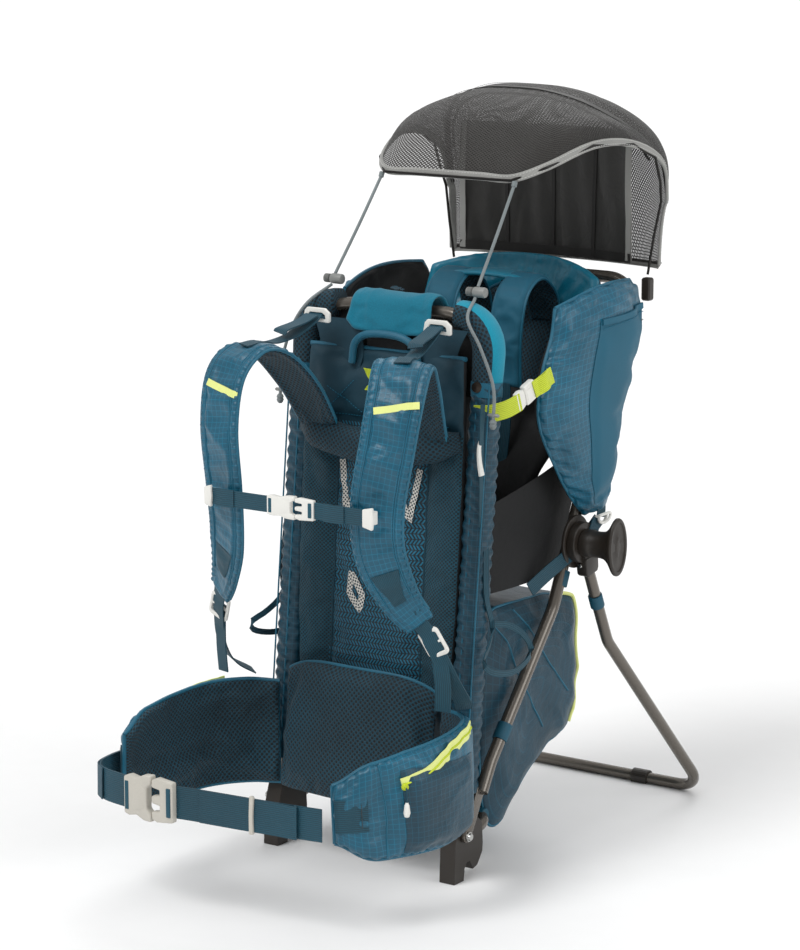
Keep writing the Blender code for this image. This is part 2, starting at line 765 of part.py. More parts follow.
def build_storage_bag():
    corners = [(0.098, 0.042), (0.118, 0.030), (0.165, 0.066), (0.243, 0.112), (0.298, 0.132),
               (0.312, 0.210), (0.300, 0.300),
               (0.245, 0.318), (0.180, 0.315), (0.110, 0.318), (0.085, 0.300), (0.080, 0.180),
               (0.100, 0.085)]
    plate("storage_bag", rounded_outline(corners, 0.012, 2), "X", -0.134, 0.134, RIPSTOP, CARRIER,
          bevel=0.010)


def build_child_harness():
    """Two padded shoulder straps joined by a yoke against the headrest."""
    section = smooth_path([(0, 0.328, 0.655), (0, 0.316, 0.692), (0, 0.286, 0.708), (0, 0.254, 0.688),
                           (0, 0.240, 0.640),
                           (0, 0.240, 0.575)], 4)
    section = even_points(section, 12)

    def place(u, v):
        spot = (1 - v) * 12
        index = min(int(spot), 11)
        point = section[index].lerp(section[index + 1], spot - index)
        return Vector(((2 * u - 1) * 0.075, point.y, point.z))

    made = sheet("child_harness", place, 6, 12, 0.012, RIPSTOP, CARRIER)
    notch = block("child_harness_gap", (0, 0.255, 0.620), (0.060, 0.150, 0.145), RIPSTOP, CARRIER)
    boolean(made, notch, "DIFFERENCE")


def build_side_buckle(name, side):
    """The release buckle between the back frame and the seat's side wing."""
    outline = rounded_outline([(0.090, 0.5750), (0.128, 0.5890), (0.121, 0.6130), (0.082, 0.5990)], 0.004,
                              2)
    low, high = sorted((side * 0.1640, side * 0.1720))
    plate(name, outline, "X", low, high, WHITE_PLASTIC, CARRIER, bevel=0.0010)


# ---------------------------------------------------------------- canopy
BRIM = [(0.0, 0.187, 0.846), (0.050, 0.187, 0.846), (0.095, 0.188, 0.846), (0.125, 0.222, 0.860),
        (0.148, 0.295, 0.882),
        (0.163, 0.365, 0.878), (0.170, 0.425, 0.850), (0.168, 0.440, 0.800)]
RIDGE = [(0.0, 0.335, 0.944), (0.045, 0.338, 0.942), (0.085, 0.350, 0.932), (0.113, 0.368, 0.917),
         (0.137, 0.390, 0.897),
         (0.153, 0.412, 0.875), (0.164, 0.432, 0.845), (0.166, 0.442, 0.798)]
REAR_EDGE = [(0.0, 0.462, 0.716), (0.045, 0.461, 0.716), (0.085, 0.457, 0.716), (0.112, 0.452, 0.716),
             (0.132, 0.448, 0.716),
             (0.146, 0.444, 0.716), (0.156, 0.440, 0.716), (0.160, 0.436, 0.716)]


def edge_point(knots, across):
    """The point at `across`, -1 to 1, on a symmetric edge whose right half is given."""
    spot = abs(across) * (len(knots) - 1)
    index = min(int(spot), len(knots) - 2)
    point = Vector(knots[index]).lerp(Vector(knots[index + 1]), spot - index)
    return Vector((math.copysign(point.x, across), point.y, point.z))


def canopy_point(across, along):
    """The canopy's outer surface: `along` runs 0 to 1 from brim to ridge and 1 to 2 from ridge to rear edge."""
    ridge = edge_point(RIDGE, across)
    fade = 1 - abs(across) ** 3
    if along <= 1:
        brim = edge_point(BRIM, across)
        bulge = Vector((0, -0.57, 0.82)) * 0.029 * fade * 4 * along * (1 - along)
        return brim.lerp(ridge, along) + bulge
    t = along - 1
    rear = edge_point(REAR_EDGE, across)
    over = ridge + Vector((0, 0.105, 0.026)) * fade
    down = Vector((0.97 * ridge.x, rear.y + 0.045 * fade, 0.865 - 0.075 * (1 - fade)))
    return ridge * (1 - t) ** 3 + 3 * over * t * (1 - t) ** 2 + 3 * down * t**2 * (1 - t) + rear * t**3


def build_canopy(pivot):
    sheet("canopy_cover", lambda u, v: canopy_point(2 * u - 1, 2 * v), 22, 18, 0.002, CANOPY_BLACK, pivot,
          offset=-1.0)

    def curtain(u, v):
        across = 2 * u - 1
        return Vector((across * 0.132, 0.412 + 0.018 * (1 - across**2), 0.722 + 0.168 * v))

    sheet("canopy_curtain", curtain, 6, 4, 0.0025, CANOPY_BLACK, pivot)
    half = [Vector((0.1505, CANOPY_PIVOT_Y, CANOPY_PIVOT_Z + 0.0150)), Vector((0.1585, 0.4245, 0.755))]
    half += [Vector((0.1665, 0.4280, 0.800)), Vector((0.1700, 0.4190, 0.826))]
    for step in range(23, 5, -1):
        brim, ridge = edge_point(BRIM, step / 28), edge_point(RIDGE, step / 28)
        half.append(brim + (brim - ridge).normalized() * 0.0050)
    wire = half + mirrored(half[::-1], -1)
    tube("brim_wire", wire, 0.0018, STEEL_WIRE, pivot, resolution=2)
    bow = [edge_point(RIDGE, step / 14) for step in range(-11, 12)]
    tube("ridge_bow", [Vector((0.95 * point.x, point.y + 0.001, point.z - 0.0075)) for point in bow],
         0.0018, STEEL_WIRE, pivot,
         resolution=2)


def build_canopy_socket(name, side):
    block(name, (side * 0.1505, CANOPY_PIVOT_Y, 0.686), (0.013, 0.013, 0.030), BLACK_PLASTIC, CARRIER,
          bevel=0.002)


# ---------------------------------------------------------------- canopy cords
CORD_TOP = (0.1000, 0.1835, 0.8375)
LOCK = (0.107, 0.092, 0.7170)
CORD_KNOTS = [CORD_TOP, (0.1035, 0.1390, 0.7790), (0.107, 0.094, 0.7232)]
CORD_LOWER = [(0.1075, 0.0870, 0.7102), (0.1200, 0.0520, 0.6900), (0.1420, 0.0480, 0.6560),
              (0.1590, 0.0500, 0.6100),
              (0.1600, 0.0480, 0.5650)]


def build_cords(side, label):
    upper = even_points(smooth_path(mirrored(CORD_KNOTS, side), 4), 12)
    tube(f"canopy_cord_upper_{label}", upper, CORD_R, CORD_GREY, CARRIER, resolution=2)
    lower = even_points(smooth_path(mirrored(CORD_LOWER, side), 6), 18)
    tube(f"canopy_cord_lower_{label}", lower, CORD_R, CORD_GREY, CARRIER, resolution=2)


def build_cord_lock(side, label, pivot):
    x, y, z = side * LOCK[0], LOCK[1], LOCK[2]
    body = round_solid(f"cord_lock_{label}", [(x - 0.004, 0.0065, 0.0058), (x + 0.013, 0.0065, 0.0058)],
                       (y, z), GREY_PLASTIC,
                       CARRIER, sides=14)
    bore = round_solid(f"cord_lock_{label}_bore",
                       [(x - 0.006, 0.0048, 0.0042), (x + 0.009, 0.0048, 0.0042)], (y, z), None, None,
                       sides=14)
    boolean(body, bore, "DIFFERENCE")
    sections = []
    for place, radius in ((-0.0140, 0.0056), (-0.0075, 0.0056), (-0.0075, 0.0038), (0.0050, 0.0038)):
        sections.append((x + place, radius, radius))
    round_solid(f"cord_lock_button_{label}", sections, (y, z), GREY_PLASTIC, pivot, sides=14)


# ---------------------------------------------------------------- assembly
def build_carrier():
    build_main_frame()
    tube("lower_loop_tube", lower_loop_path(), STAND_R, TUBE_PAINT, CARRIER, resolution=2)
    build_rear_frame()
    build_back_panel()
    build_top_rail_pad()
    build_handle_cover()
    build_lumbar_pad()
    build_seat_back()
    build_seat_base()
    build_storage_bag()
    build_child_harness()
    build_kickstand(empty("kickstand_axis", (0, HUB_Y, HUB_Z), CARRIER))
    build_canopy(empty("canopy_axis", (0, CANOPY_PIVOT_Y, CANOPY_PIVOT_Z), CARRIER))
    slider = empty("sternum_height_axis", (0, STERNUM_Y, STERNUM_Z), CARRIER)
    build_sternum(slider, empty("sternum_release_axis", (0.026, 0, 0), slider))
    build_hip_buckle(empty("hip_release_axis", (-0.078, -0.2865, 0.140), CARRIER))
    for side, label in ((1, "right"), (-1, "left")):
        build_foot_bracket(f"foot_bracket_{label}", side)
        build_foot_bolt(f"foot_bolt_{label}", side)
        build_hub(f"hub_{label}", side)
        build_knob(f"knob_{label}", side,
                   empty(f"knob_{label}_axis", (side * 0.200, HUB_Y, HUB_Z), CARRIER))
        build_shoulder_strap(f"shoulder_strap_{label}", side)
        build_lifter_hook(f"lifter_hook_{label}", side)
        build_strap_adjuster(f"strap_adjuster_{label}", side)
        build_hip_wing(f"hip_wing_{label}", side)
        build_seat_wing(f"seat_wing_{label}", side)
        build_side_buckle(f"side_buckle_{label}", side)
        build_canopy_socket(f"canopy_socket_{label}", side)
        build_cords(side, label)
        build_cord_lock(side, label,
                        empty(f"cord_lock_{label}_axis", (side * LOCK[0], LOCK[1], LOCK[2]), CARRIER))


clear_scene()
PARTS = new_collection("baby_carrier_backpack")
CUTTERS = new_collection("cutters")
CUTTERS.hide_render = True
CARRIER = empty("carrier", (0, -CENTRE_Y, 0))
build_carrier()
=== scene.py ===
"""Looks of a framed baby carrier backpack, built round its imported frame.

Shapes are drawn in metres about the middle of the two feet, +Z up, the wearer on the -Y side, and
`Workshop.piece` moves each finished mesh into the row frame. Right means +X.
"""

import json
import logging
import math
from collections.abc import Callable, Sequence
from dataclasses import dataclass, field
from enum import Enum
from functools import lru_cache

import bmesh
import bpy
from mathutils import Matrix, Vector, noise
from mathutils.bvhtree import BVHTree

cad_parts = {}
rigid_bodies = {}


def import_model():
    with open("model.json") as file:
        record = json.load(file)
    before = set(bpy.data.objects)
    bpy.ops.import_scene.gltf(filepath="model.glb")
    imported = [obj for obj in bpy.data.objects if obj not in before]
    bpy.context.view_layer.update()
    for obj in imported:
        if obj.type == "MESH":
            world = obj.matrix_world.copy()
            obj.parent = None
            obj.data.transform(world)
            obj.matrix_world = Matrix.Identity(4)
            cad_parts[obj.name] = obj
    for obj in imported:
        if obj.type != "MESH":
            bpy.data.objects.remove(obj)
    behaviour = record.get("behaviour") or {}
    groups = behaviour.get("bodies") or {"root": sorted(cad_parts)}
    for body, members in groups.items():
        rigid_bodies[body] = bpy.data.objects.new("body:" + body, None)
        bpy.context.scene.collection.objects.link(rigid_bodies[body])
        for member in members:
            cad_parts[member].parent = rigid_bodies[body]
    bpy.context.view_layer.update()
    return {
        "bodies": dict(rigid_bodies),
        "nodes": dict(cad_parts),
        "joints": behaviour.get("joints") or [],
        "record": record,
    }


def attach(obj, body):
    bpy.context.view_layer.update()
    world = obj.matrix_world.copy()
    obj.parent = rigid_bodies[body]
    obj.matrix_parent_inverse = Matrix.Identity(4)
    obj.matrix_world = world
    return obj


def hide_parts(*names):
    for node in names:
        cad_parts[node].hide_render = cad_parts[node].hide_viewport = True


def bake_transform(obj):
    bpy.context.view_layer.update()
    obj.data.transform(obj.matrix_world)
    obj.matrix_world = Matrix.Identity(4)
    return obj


LOG = logging.getLogger("carrier")
ROW_SHIFT = Vector((0.0, -0.1035, 0.0))  # from the middle of the feet to the row frame
MERGE = 0.00002  # points closer than this become one
HALF_TRACK = 0.135  # from the middle of the carrier to each leg of the back frame
BLOW_FRAMES = 20  # frames that the cloth solver blows the pads up for
SIDES = ((1, "right"), (-1, "left"))

BMesh = bmesh.types.BMesh
Object = bpy.types.Object
Place = Callable[[float, float], Vector]
Profile = Callable[[float, float], float]
Pair = tuple[float, float]
Outline = list[Pair]


# ------------------------------------------------------------------------------- finishes
def linear(code: str) -> tuple[float, float, float, float]:
    """Turns an sRGB hex colour into linear RGBA.

    Args:
        code: The colour, such as "#0e6e93".

    Returns:
        Linear red, green and blue, and an alpha of 1.
    """
    channels = [int(code[start : start + 2], 16) / 255 for start in (1, 3, 5)]
    return (*[c / 12.92 if c <= 0.04045 else ((c + 0.055) / 1.055) ** 2.4 for c in channels], 1.0)


def add(
    tree: bpy.types.NodeTree, kind: str, settings: dict | None = None, links: dict | None = None,
) -> bpy.types.Node:
    """Adds one shader node.

    Args:
        tree: The material's node tree.
        kind: The node's type, without "ShaderNode".
        settings: Input values by name or index, and node properties by name.
        links: The sockets that feed its inputs, by input name or index.

    Returns:
        The new node.
    """
    made = tree.nodes.new("ShaderNode" + kind)
    for key, value in (settings or {}).items():
        if isinstance(key, int) or key in made.inputs:
            made.inputs[key].default_value = value
        else:
            setattr(made, key, value)
    for key, socket in (links or {}).items():
        tree.links.new(socket, made.inputs[key])
    return made


class Pattern(Enum):
    """How a surface is made up close."""

    GRAIN = "moulded or sprayed grain"
    WEAVE = "plain weave"
    RIPSTOP = "plain weave with a grid of thicker threads"
    HOLES = "knitted mesh with a hole in each cell"
    CHEVRON = "rows of short slanted floats that turn at each row"
    RIBS = "webbing with ribs along its length"
    BRAID = "braided cord"
    NAP = "brushed pile"


@dataclass(frozen=True)
class Finish:
    """One real material: its colours, its surface pattern and how it takes light.

    `colour` is the raised part of the pattern and `shade` the low part. `pitch` and `depth` are the
    pattern's repeat and height in mm, and `crumple` is the height in mm of soft creases.
    """

    name: str
    colour: str
    shade: str
    pattern: Pattern
    pitch: float
    depth: float = 0.1
    roughness: float = 0.6
    metallic: float = 0.0
    sheen: float = 0.0
    coat: float = 0.0
    mottle: float = 0.12
    crumple: float = 0.0
    crumple_size: float = 25.0
    see_through: bool = False
    stretch: float = 1.0
    specular: float = 0.5

    def height(self, tree: bpy.types.NodeTree) -> bpy.types.NodeSocket:
        """Builds the nodes of the pattern.

        Args:
            tree: The material's node tree.

        Returns:
            The socket that holds the height, from 0 to 1.
        """
        place = add(tree, "TexCoord")
        if self.pattern in (Pattern.GRAIN, Pattern.NAP):
            cells = {"Scale": 1000 / self.pitch, "Detail": 3.0 if self.pattern is Pattern.NAP else 1.0}
            return add(tree, "TexNoise", cells, {"Vector": place.outputs["Object"]}).outputs["Fac"]
        per_metre = 1000 / self.pitch
        turn = math.radians(45) if self.pattern is Pattern.HOLES else 0.0
        scaled = add(
            tree,
            "Mapping",
            {"Rotation": (0, 0, turn), "Scale": (per_metre, per_metre * self.stretch, 1)},
            {"Vector": place.outputs["UV"]},
        )
        if self.pattern is Pattern.HOLES:
            cell = {"voronoi_dimensions": "2D", "Randomness": 0.0, "Scale": 1.0}
            far = add(tree, "TexVoronoi", cell, {"Vector": scaled.outputs[0]}).outputs["Distance"]
            edge = {"interpolation_type": "SMOOTHSTEP", "From Min": 0.24, "From Max": 0.46}
            return add(tree, "MapRange", edge, {"Value": far}).outputs["Result"]
        split = add(tree, "SeparateXYZ", None, {0: scaled.outputs[0]})
        along, across = split.outputs[1], split.outputs[0]
        if self.pattern is Pattern.RIBS:
            across = add(tree, "Math", {"operation": "MULTIPLY", 1: math.tau}, {0: across}).outputs[0]
            wave = add(tree, "Math", {"operation": "COSINE"}, {0: across}).outputs[0]
            return add(tree, "Math", {"operation": "MULTIPLY_ADD", 1: 0.5, 2: 0.5}, {0: wave}).outputs[0]
        if self.pattern is Pattern.CHEVRON:
            row = add(tree, "Math", {"operation": "PINGPONG", 1: 1.0}, {0: along}).outputs[0]
            slanted = add(
                tree, "Math", {"operation": "MULTIPLY_ADD", 1: 1.4}, {0: across, 2: row},
            ).outputs[0]
            wave = add(tree, "Math", {"operation": "PINGPONG", 1: 0.5}, {0: slanted}).outputs[0]
            edge = {"interpolation_type": "SMOOTHSTEP", "From Min": 0.10, "From Max": 0.38}
            float_thread = add(tree, "MapRange", edge, {"Value": wave}).outputs["Result"]
            near = add(tree, "Math", {"operation": "PINGPONG", 1: 0.5}, {0: along}).outputs[0]
            gap = add(
                tree, "MapRange", {"From Min": 0.02, "From Max": 0.12}, {"Value": near},
            ).outputs["Result"]
            return add(tree, "Math", {"operation": "MULTIPLY"}, {0: float_thread, 1: gap}).outputs[0]
        angle = math.radians(45) if self.pattern is Pattern.BRAID else 0.0
        turned = add(tree, "VectorRotate", {"Angle": angle}, {"Vector": scaled.outputs[0]})
        spread = add(tree, "VectorMath", {"operation": "SCALE", "Scale": math.tau}, {0: turned.outputs[0]})
        waves = add(tree, "VectorMath", {"operation": "SINE"}, {0: spread.outputs[0]})
        threads = add(tree, "SeparateXYZ", None, {0: waves.outputs[0]})
        crossed = add(
            tree, "Math", {"operation": "MULTIPLY"}, {0: threads.outputs[0], 1: threads.outputs[1]},
        )
        weave = add(tree, "Math", {"operation": "MULTIPLY_ADD", 1: 0.5, 2: 0.5}, {0: crossed.outputs[0]})
        if self.pattern is not Pattern.RIPSTOP:
            return weave.outputs[0]
        sixth = add(tree, "VectorMath", {"operation": "SCALE", "Scale": 1 / 6}, {0: scaled.outputs[0]})
        cell = add(tree, "VectorMath", {"operation": "FRACTION"}, {0: sixth.outputs[0]})
        grid = add(tree, "SeparateXYZ", None, {0: cell.outputs[0]})
        nearest = add(tree, "Math", {"operation": "MINIMUM"}, {0: grid.outputs[0], 1: grid.outputs[1]})
        thick = {"From Min": 0.05, "From Max": 0.16, "To Min": 1.0, "To Max": 0.0}
        thread = add(tree, "MapRange", thick, {"Value": nearest.outputs[0]})
        part = add(tree, "Math", {"operation": "MULTIPLY", 1: 0.55}, {0: weave.outputs[0]})
        return add(
            tree, "Math", {"operation": "MAXIMUM"}, {0: part.outputs[0], 1: thread.outputs[0]},
        ).outputs[0]

    @lru_cache(maxsize=None)
    def material(self) -> bpy.types.Material:
        """Builds the Blender material once and returns it."""
        made = bpy.data.materials.new(self.name)
        made.use_nodes = True
        tree = made.node_tree
        shader = tree.nodes["Principled BSDF"]
        shader.inputs["Roughness"].default_value = self.roughness
        shader.inputs["Metallic"].default_value = self.metallic
        shader.inputs["Sheen Weight"].default_value = self.sheen
        shader.inputs["Coat Weight"].default_value = self.coat
        shader.inputs["Specular IOR Level"].default_value = self.specular
        height = self.height(tree)
        place = add(tree, "TexCoord")
        blotch = add(tree, "TexNoise", {"Scale": 14.0, "Detail": 4.0}, {"Vector": place.outputs["Object"]})
        two = {"data_type": "RGBA", 6: linear(self.shade), 7: linear(self.colour)}
        base = add(tree, "Mix", two, {0: height})
        level = {"From Min": 0.3, "From Max": 0.7, "To Min": 1 - self.mottle, "To Max": 1 + self.mottle}
        gain = add(tree, "MapRange", level, {"Value": blotch.outputs["Fac"]})
        tint = add(
            tree, "VectorMath", {"operation": "SCALE"},
            {0: base.outputs[2], "Scale": gain.outputs["Result"]},
        )
        tree.links.new(tint.outputs[0], shader.inputs["Base Color"])
        bump = add(tree, "Bump", {"Strength": 0.9, "Distance": self.depth / 1000}, {"Height": height})
        if self.crumple:
            cells = {"Scale": 1000 / self.crumple_size, "Detail": 3.0, "Roughness": 0.55, "Distortion": 0.9}
            crease = add(tree, "TexNoise", cells, {"Vector": place.outputs["Object"]})
            soft = {"Strength": 1.0, "Distance": self.crumple / 1000}
            bump = add(tree, "Bump", soft, {"Height": crease.outputs["Fac"], "Normal": bump.outputs[0]})
        tree.links.new(bump.outputs[0], shader.inputs["Normal"])
        if self.see_through:
            hole = {"From Min": 0.0, "From Max": 0.4, "To Min": 0.45, "To Max": 1.0}
            solid = add(tree, "MapRange", hole, {"Value": height})
            tree.links.new(solid.outputs["Result"], shader.inputs["Alpha"])
        return made


# Nylon ripstop, calendered on one face: a satin petrol blue that goes pale where light rakes it.
RIPSTOP = Finish(
    "nylon_ripstop", "#056a86", "#01435a", Pattern.RIPSTOP, 1.1, 0.06, 0.40, sheen=0.05, crumple=1.6,
    mottle=0.16,
)
# The same cloth in a darker colour, on the frame sleeves, the hip pockets, the backs of the lumbar pad and
# the seat, and the bag and panel below the seat.
RIPSTOP_DARK = Finish(
    "nylon_ripstop_dark", "#034a60", "#012b3b", Pattern.RIPSTOP, 1.1, 0.06, 0.45, sheen=0.04, crumple=1.8,
    mottle=0.2,
)
# Satin-faced nylon of the collar: smoother and brighter than the ripstop.
SATIN = Finish(
    "nylon_satin", "#0a82a0", "#05667f", Pattern.WEAVE, 1.0, 0.03, 0.36, sheen=0.06, crumple=0.9,
    crumple_size=18.0,
)
# Polyester spacer mesh: a knitted face with a dark hole in each cell (4.6 mm cells).
SPACER = Finish(
    "polyester_spacer_mesh", "#03394a", "#010e15", Pattern.HOLES, 4.6, 0.9, 0.75, sheen=0.04, crumple=0.6,
    mottle=0.2,
)
# Finer spacer mesh for linings.
SPACER_FINE = Finish(
    "polyester_spacer_mesh_fine", "#044456", "#01161f", Pattern.HOLES, 3.4, 0.6, 0.75, sheen=0.04,
    crumple=0.8, mottle=0.2,
)
# Air mesh of the back: bright floats in rows over a dark ground.
AIR_MESH = Finish(
    "polyester_air_mesh", "#086480", "#01141d", Pattern.CHEVRON, 6.5, 0.9, 0.6, sheen=0.04, mottle=0.25,
)
# Metallised thread of the diamond inserts.
SILVER_MESH = Finish(
    "silver_thread_mesh", "#d9d6cf", "#15303a", Pattern.HOLES, 3.6, 0.5, 0.45, metallic=0.1,
)
# Brushed polyester fleece: matt, with a pale edge where its pile catches light.
FLEECE = Finish(
    "brushed_fleece", "#027a94", "#016077", Pattern.NAP, 1.6, 0.35, 0.95, sheen=0.15, mottle=0.08,
)
FLEECE_BRIGHT = Finish(
    "brushed_fleece_bright", "#0295b0", "#017b94", Pattern.NAP, 1.6, 0.35, 0.95, sheen=0.15, mottle=0.06,
)
# Plain polyester cloth of the back's flat top.
TEAL_CLOTH = Finish(
    "teal_polyester_cloth", "#023b4c", "#012a38", Pattern.WEAVE, 1.1, 0.05, 0.7, crumple=0.8, mottle=0.1,
)
# Elastane knit of the side pocket: smooth, almost without creases.
ELASTANE = Finish(
    "elastane_knit", "#015d76", "#015068", Pattern.WEAVE, 0.9, 0.03, 0.68, sheen=0.04, crumple=0.25,
    crumple_size=60.0, mottle=0.06,
)
# Polyester webbing, woven with ribs 2.4 mm apart.
WEBBING = Finish("polyester_webbing", "#03485a", "#013140", Pattern.RIBS, 2.4, 0.35, 0.62, sheen=0.04)
LIME_WEBBING = Finish(
    "lime_webbing", "#cfdf32", "#aebd1c", Pattern.RIBS, 2.4, 0.3, 0.6, sheen=0.1, mottle=0.06,
)
WEBBING_FLAT = Finish("flat_webbing_tape", "#03546b", "#024052", Pattern.GRAIN, 1.2, 0.08, 0.6)
# Pale-lime coated tape of the zips and stripes.
LIME_TAPE = Finish("lime_zip_tape", "#eaf09b", "#dfe784", Pattern.WEAVE, 1.2, 0.05, 0.5, mottle=0.04)
LIME_CLOTH = Finish("lime_cloth", "#c9d928", "#a8b81a", Pattern.RIPSTOP, 1.4, 0.1, 0.6, crumple=1.0)
# Binding tape: folded nylon, a little paler than the panels it edges.
BINDING = Finish("nylon_binding_tape", "#0b6a86", "#044c63", Pattern.RIBS, 1.5, 0.15, 0.5, sheen=0.06)
# Black open mesh of the canopy; real holes are under 1 mm, drawn 2.8 mm apart so that they show.
OPEN_MESH = Finish(
    "polyester_open_mesh", "#24211d", "#0a0907", Pattern.HOLES, 2.8, 0.3, 0.62, sheen=0.15,
    see_through=True,
)
# Charcoal taffeta of the canopy's curtain.
TAFFETA = Finish(
    "charcoal_taffeta", "#2f2e2b", "#232220", Pattern.WEAVE, 1.0, 0.04, 0.55, sheen=0.15, crumple=1.6,
    crumple_size=30.0,
)
# Grey polyester grosgrain of the canopy's piping.
GROSGRAIN = Finish("grey_grosgrain", "#a3a3a0", "#83837f", Pattern.RIBS, 1.6, 0.2, 0.7, sheen=0.2)
# Elastic cord in a braided polyester sleeve.
CORD = Finish("braided_elastic_cord", "#8f989a", "#5d6668", Pattern.BRAID, 1.6, 0.25, 0.75, sheen=0.2)
CORD_TEAL = Finish("braided_cord_teal", "#0a4a5e", "#052c3a", Pattern.BRAID, 1.6, 0.25, 0.7)
# Acetal of the buckles: waxy off-white with a soft gloss.
ACETAL = Finish("white_acetal", "#e9e8e3", "#e2e1db", Pattern.GRAIN, 1.2, 0.02, 0.34, mottle=0.03)
ACETAL_GREY = Finish("warm_grey_acetal", "#c6c2b8", "#bcb8ae", Pattern.GRAIN, 1.2, 0.02, 0.38, mottle=0.03)
GREY_NYLON = Finish("grey_nylon", "#8a8c8a", "#7b7d7b", Pattern.GRAIN, 1.0, 0.03, 0.38, mottle=0.06)
# Glass-filled nylon of the hub and feet: brown-black with spark-eroded grain.
BLACK_NYLON = Finish("black_nylon", "#2e2822", "#231e19", Pattern.GRAIN, 0.9, 0.05, 0.42, mottle=0.1)
# Powder coat over steel tube: dark grey-brown, glossy enough for a sharp streak.
POWDER_COAT = Finish(
    "grey_powder_coat", "#6a645c", "#5b554e", Pattern.GRAIN, 0.7, 0.01, 0.24, metallic=0.55, coat=0.4,
    mottle=0.05,
)
ZINC = Finish(
    "zinc_plated_steel", "#c9c9c6", "#b5b5b2", Pattern.GRAIN, 0.6, 0.01, 0.25, metallic=1.0, mottle=0.04,
)
SPRING_STEEL = Finish(
    "black_spring_steel", "#1d1b19", "#141210", Pattern.GRAIN, 0.6, 0.01, 0.35, metallic=0.4,
)
# Press studs of burnished brass, almost brown.
STUD = Finish("burnished_stud", "#3a322b", "#2a231e", Pattern.GRAIN, 0.8, 0.01, 0.32, metallic=0.7)
# Near-black cloth: painted shade on the faces inside the seat, under the sling, behind the back pad and
# behind the window under the handle; also the care patch's ground.
SHADE_AND_LABEL_BLACK = Finish("painted_shade_and_label_black", "#0d0f11", "#060709", Pattern.WEAVE, 1.0, 0.04, 0.8, crumple=1.0)
TAFFETA_SEAM = Finish("charcoal_seam_tape", "#211f1d", "#171614", Pattern.WEAVE, 1.0, 0.05, 0.6)
# Polyester sewing thread, in two tones.
THREAD_PALE = Finish("pale_thread", "#c9c9c6", "#a9a9a6", Pattern.GRAIN, 0.8, 0.02, 0.6, mottle=0.05)
THREAD_DARK = Finish("dark_thread", "#3c3b39", "#2a2927", Pattern.GRAIN, 0.8, 0.02, 0.6, mottle=0.05)
THREAD_TEAL = Finish("teal_thread", "#0f6f8d", "#0b5a74", Pattern.GRAIN, 0.8, 0.02, 0.6, mottle=0.05)
FLOOR = Finish("painted_floor", "#f4f4f4", "#f2f2f2", Pattern.GRAIN, 40.0, 0.0, 0.9, mottle=0.0)


# ------------------------------------------------------------------------------- shape tools
def mix(values: Sequence[float], t: float) -> float:
    """Linear interpolation at t, 0 to 1, in a list of evenly spaced values."""
    spot = min(max(t, 0.0), 1.0) * (len(values) - 1)
    index = min(int(spot), len(values) - 2)
    return values[index] + (values[index + 1] - values[index]) * (spot - index)


def smooth(t: float) -> float:
    """An S-shaped ramp from 0 to 1."""
    t = min(max(t, 0.0), 1.0)
    return t * t * (3 - 2 * t)


def bump_at(t: float, centre: float, width: float) -> float:
    """A bell of height 1 at a centre, gone one and a half widths away."""
    return math.exp(-(((t - centre) / width) ** 2) * 2)


def mirrored(points: Sequence[Sequence[float]], side: int) -> list[Vector]:
    """The points with x multiplied by side, 1 or -1."""
    return [Vector((side * point[0], point[1], point[2])) for point in points]


@dataclass
class Track:
    """A smooth line through knots with a side direction at each point.

    `across` gives the wanted side direction at t, 0 to 1. Without it the side is carried along.
    """

    knots: Sequence[Sequence[float]]
    across: Callable[[float], Vector] | Vector | None = None
    loop: bool = False
    steps: int = 10
    points: list[Vector] = field(default_factory=list)
    length: float = 0.0

    def __post_init__(self) -> None:
        """Computes evenly spaced points and their sides."""
        knots = [Vector(knot) for knot in self.knots]
        ring = [knots[-1], *knots, knots[0], knots[1]] if self.loop else [
            2 * knots[0] - knots[1], *knots, 2 * knots[-1] - knots[-2],
        ]
        rough = []
        for index in range(1, len(ring) - 2):
            a, b, c, d = ring[index - 1 : index + 3]
            for step in range(self.steps):
                t = step / self.steps
                curve = 2 * b + (c - a) * t + (
                    2 * a - 5 * b + 4 * c - d
                ) * t * t + (3 * b - a - 3 * c + d) * t**3
                rough.append(curve * 0.5)
        rough.append(ring[-2])
        lengths = [0.0]
        for first, second in zip(rough, rough[1:]):
            lengths.append(lengths[-1] + (second - first).length)
        self.length = lengths[-1]
        count = max(len(rough) * 2, round(self.length / 0.004))
        index = 0
        for step in range(count + 1):
            wanted = self.length * step / count
            while index < len(lengths) - 2 and lengths[index + 1] < wanted:
                index += 1
            span = max(lengths[index + 1] - lengths[index], 1e-9)
            self.points.append(rough[index].lerp(rough[index + 1], (wanted - lengths[index]) / span))
        self.sides = self.find_sides()

    def tangent(self, index: int) -> Vector:
        """The direction of travel at a point."""
        last = len(self.points) - 1
        if self.loop and index in (0, last):
            return (self.points[1] - self.points[-2]).normalized()
        return (self.points[min(index + 1, last)] - self.points[max(index - 1, 0)]).normalized()

    def find_sides(self) -> list[Vector]:
        """The unit side direction at each point, square to the line."""
        sides = []
        carried = Vector((0.31, 0.27, 0.91))
        if abs(carried.dot(self.tangent(0))) > 0.9:
            carried = Vector((1, 0, 0))
        for index in range(len(self.points)):
            wanted = carried
            if isinstance(self.across, Vector):
                wanted = self.across
            elif self.across is not None:
                wanted = Vector(self.across(index / (len(self.points) - 1)))
            tangent = self.tangent(index)
            carried = (wanted - tangent * wanted.dot(tangent)).normalized()
            sides.append(carried)
        return sides

    def at(self, t: float) -> tuple[Vector, Vector, Vector]:
        """The point, its side direction and its outward direction at t, 0 to 1."""
        spot = min(max(t, 0.0), 1.0) * (len(self.points) - 1)
        index = min(int(spot), len(self.points) - 2)
        part = spot - index
        point = self.points[index].lerp(self.points[index + 1], part)
        side = self.sides[index].lerp(self.sides[index + 1], part).normalized()
        tangent = self.tangent(index).lerp(self.tangent(index + 1), part).normalized()
        return point, side, side.cross(tangent).normalized()


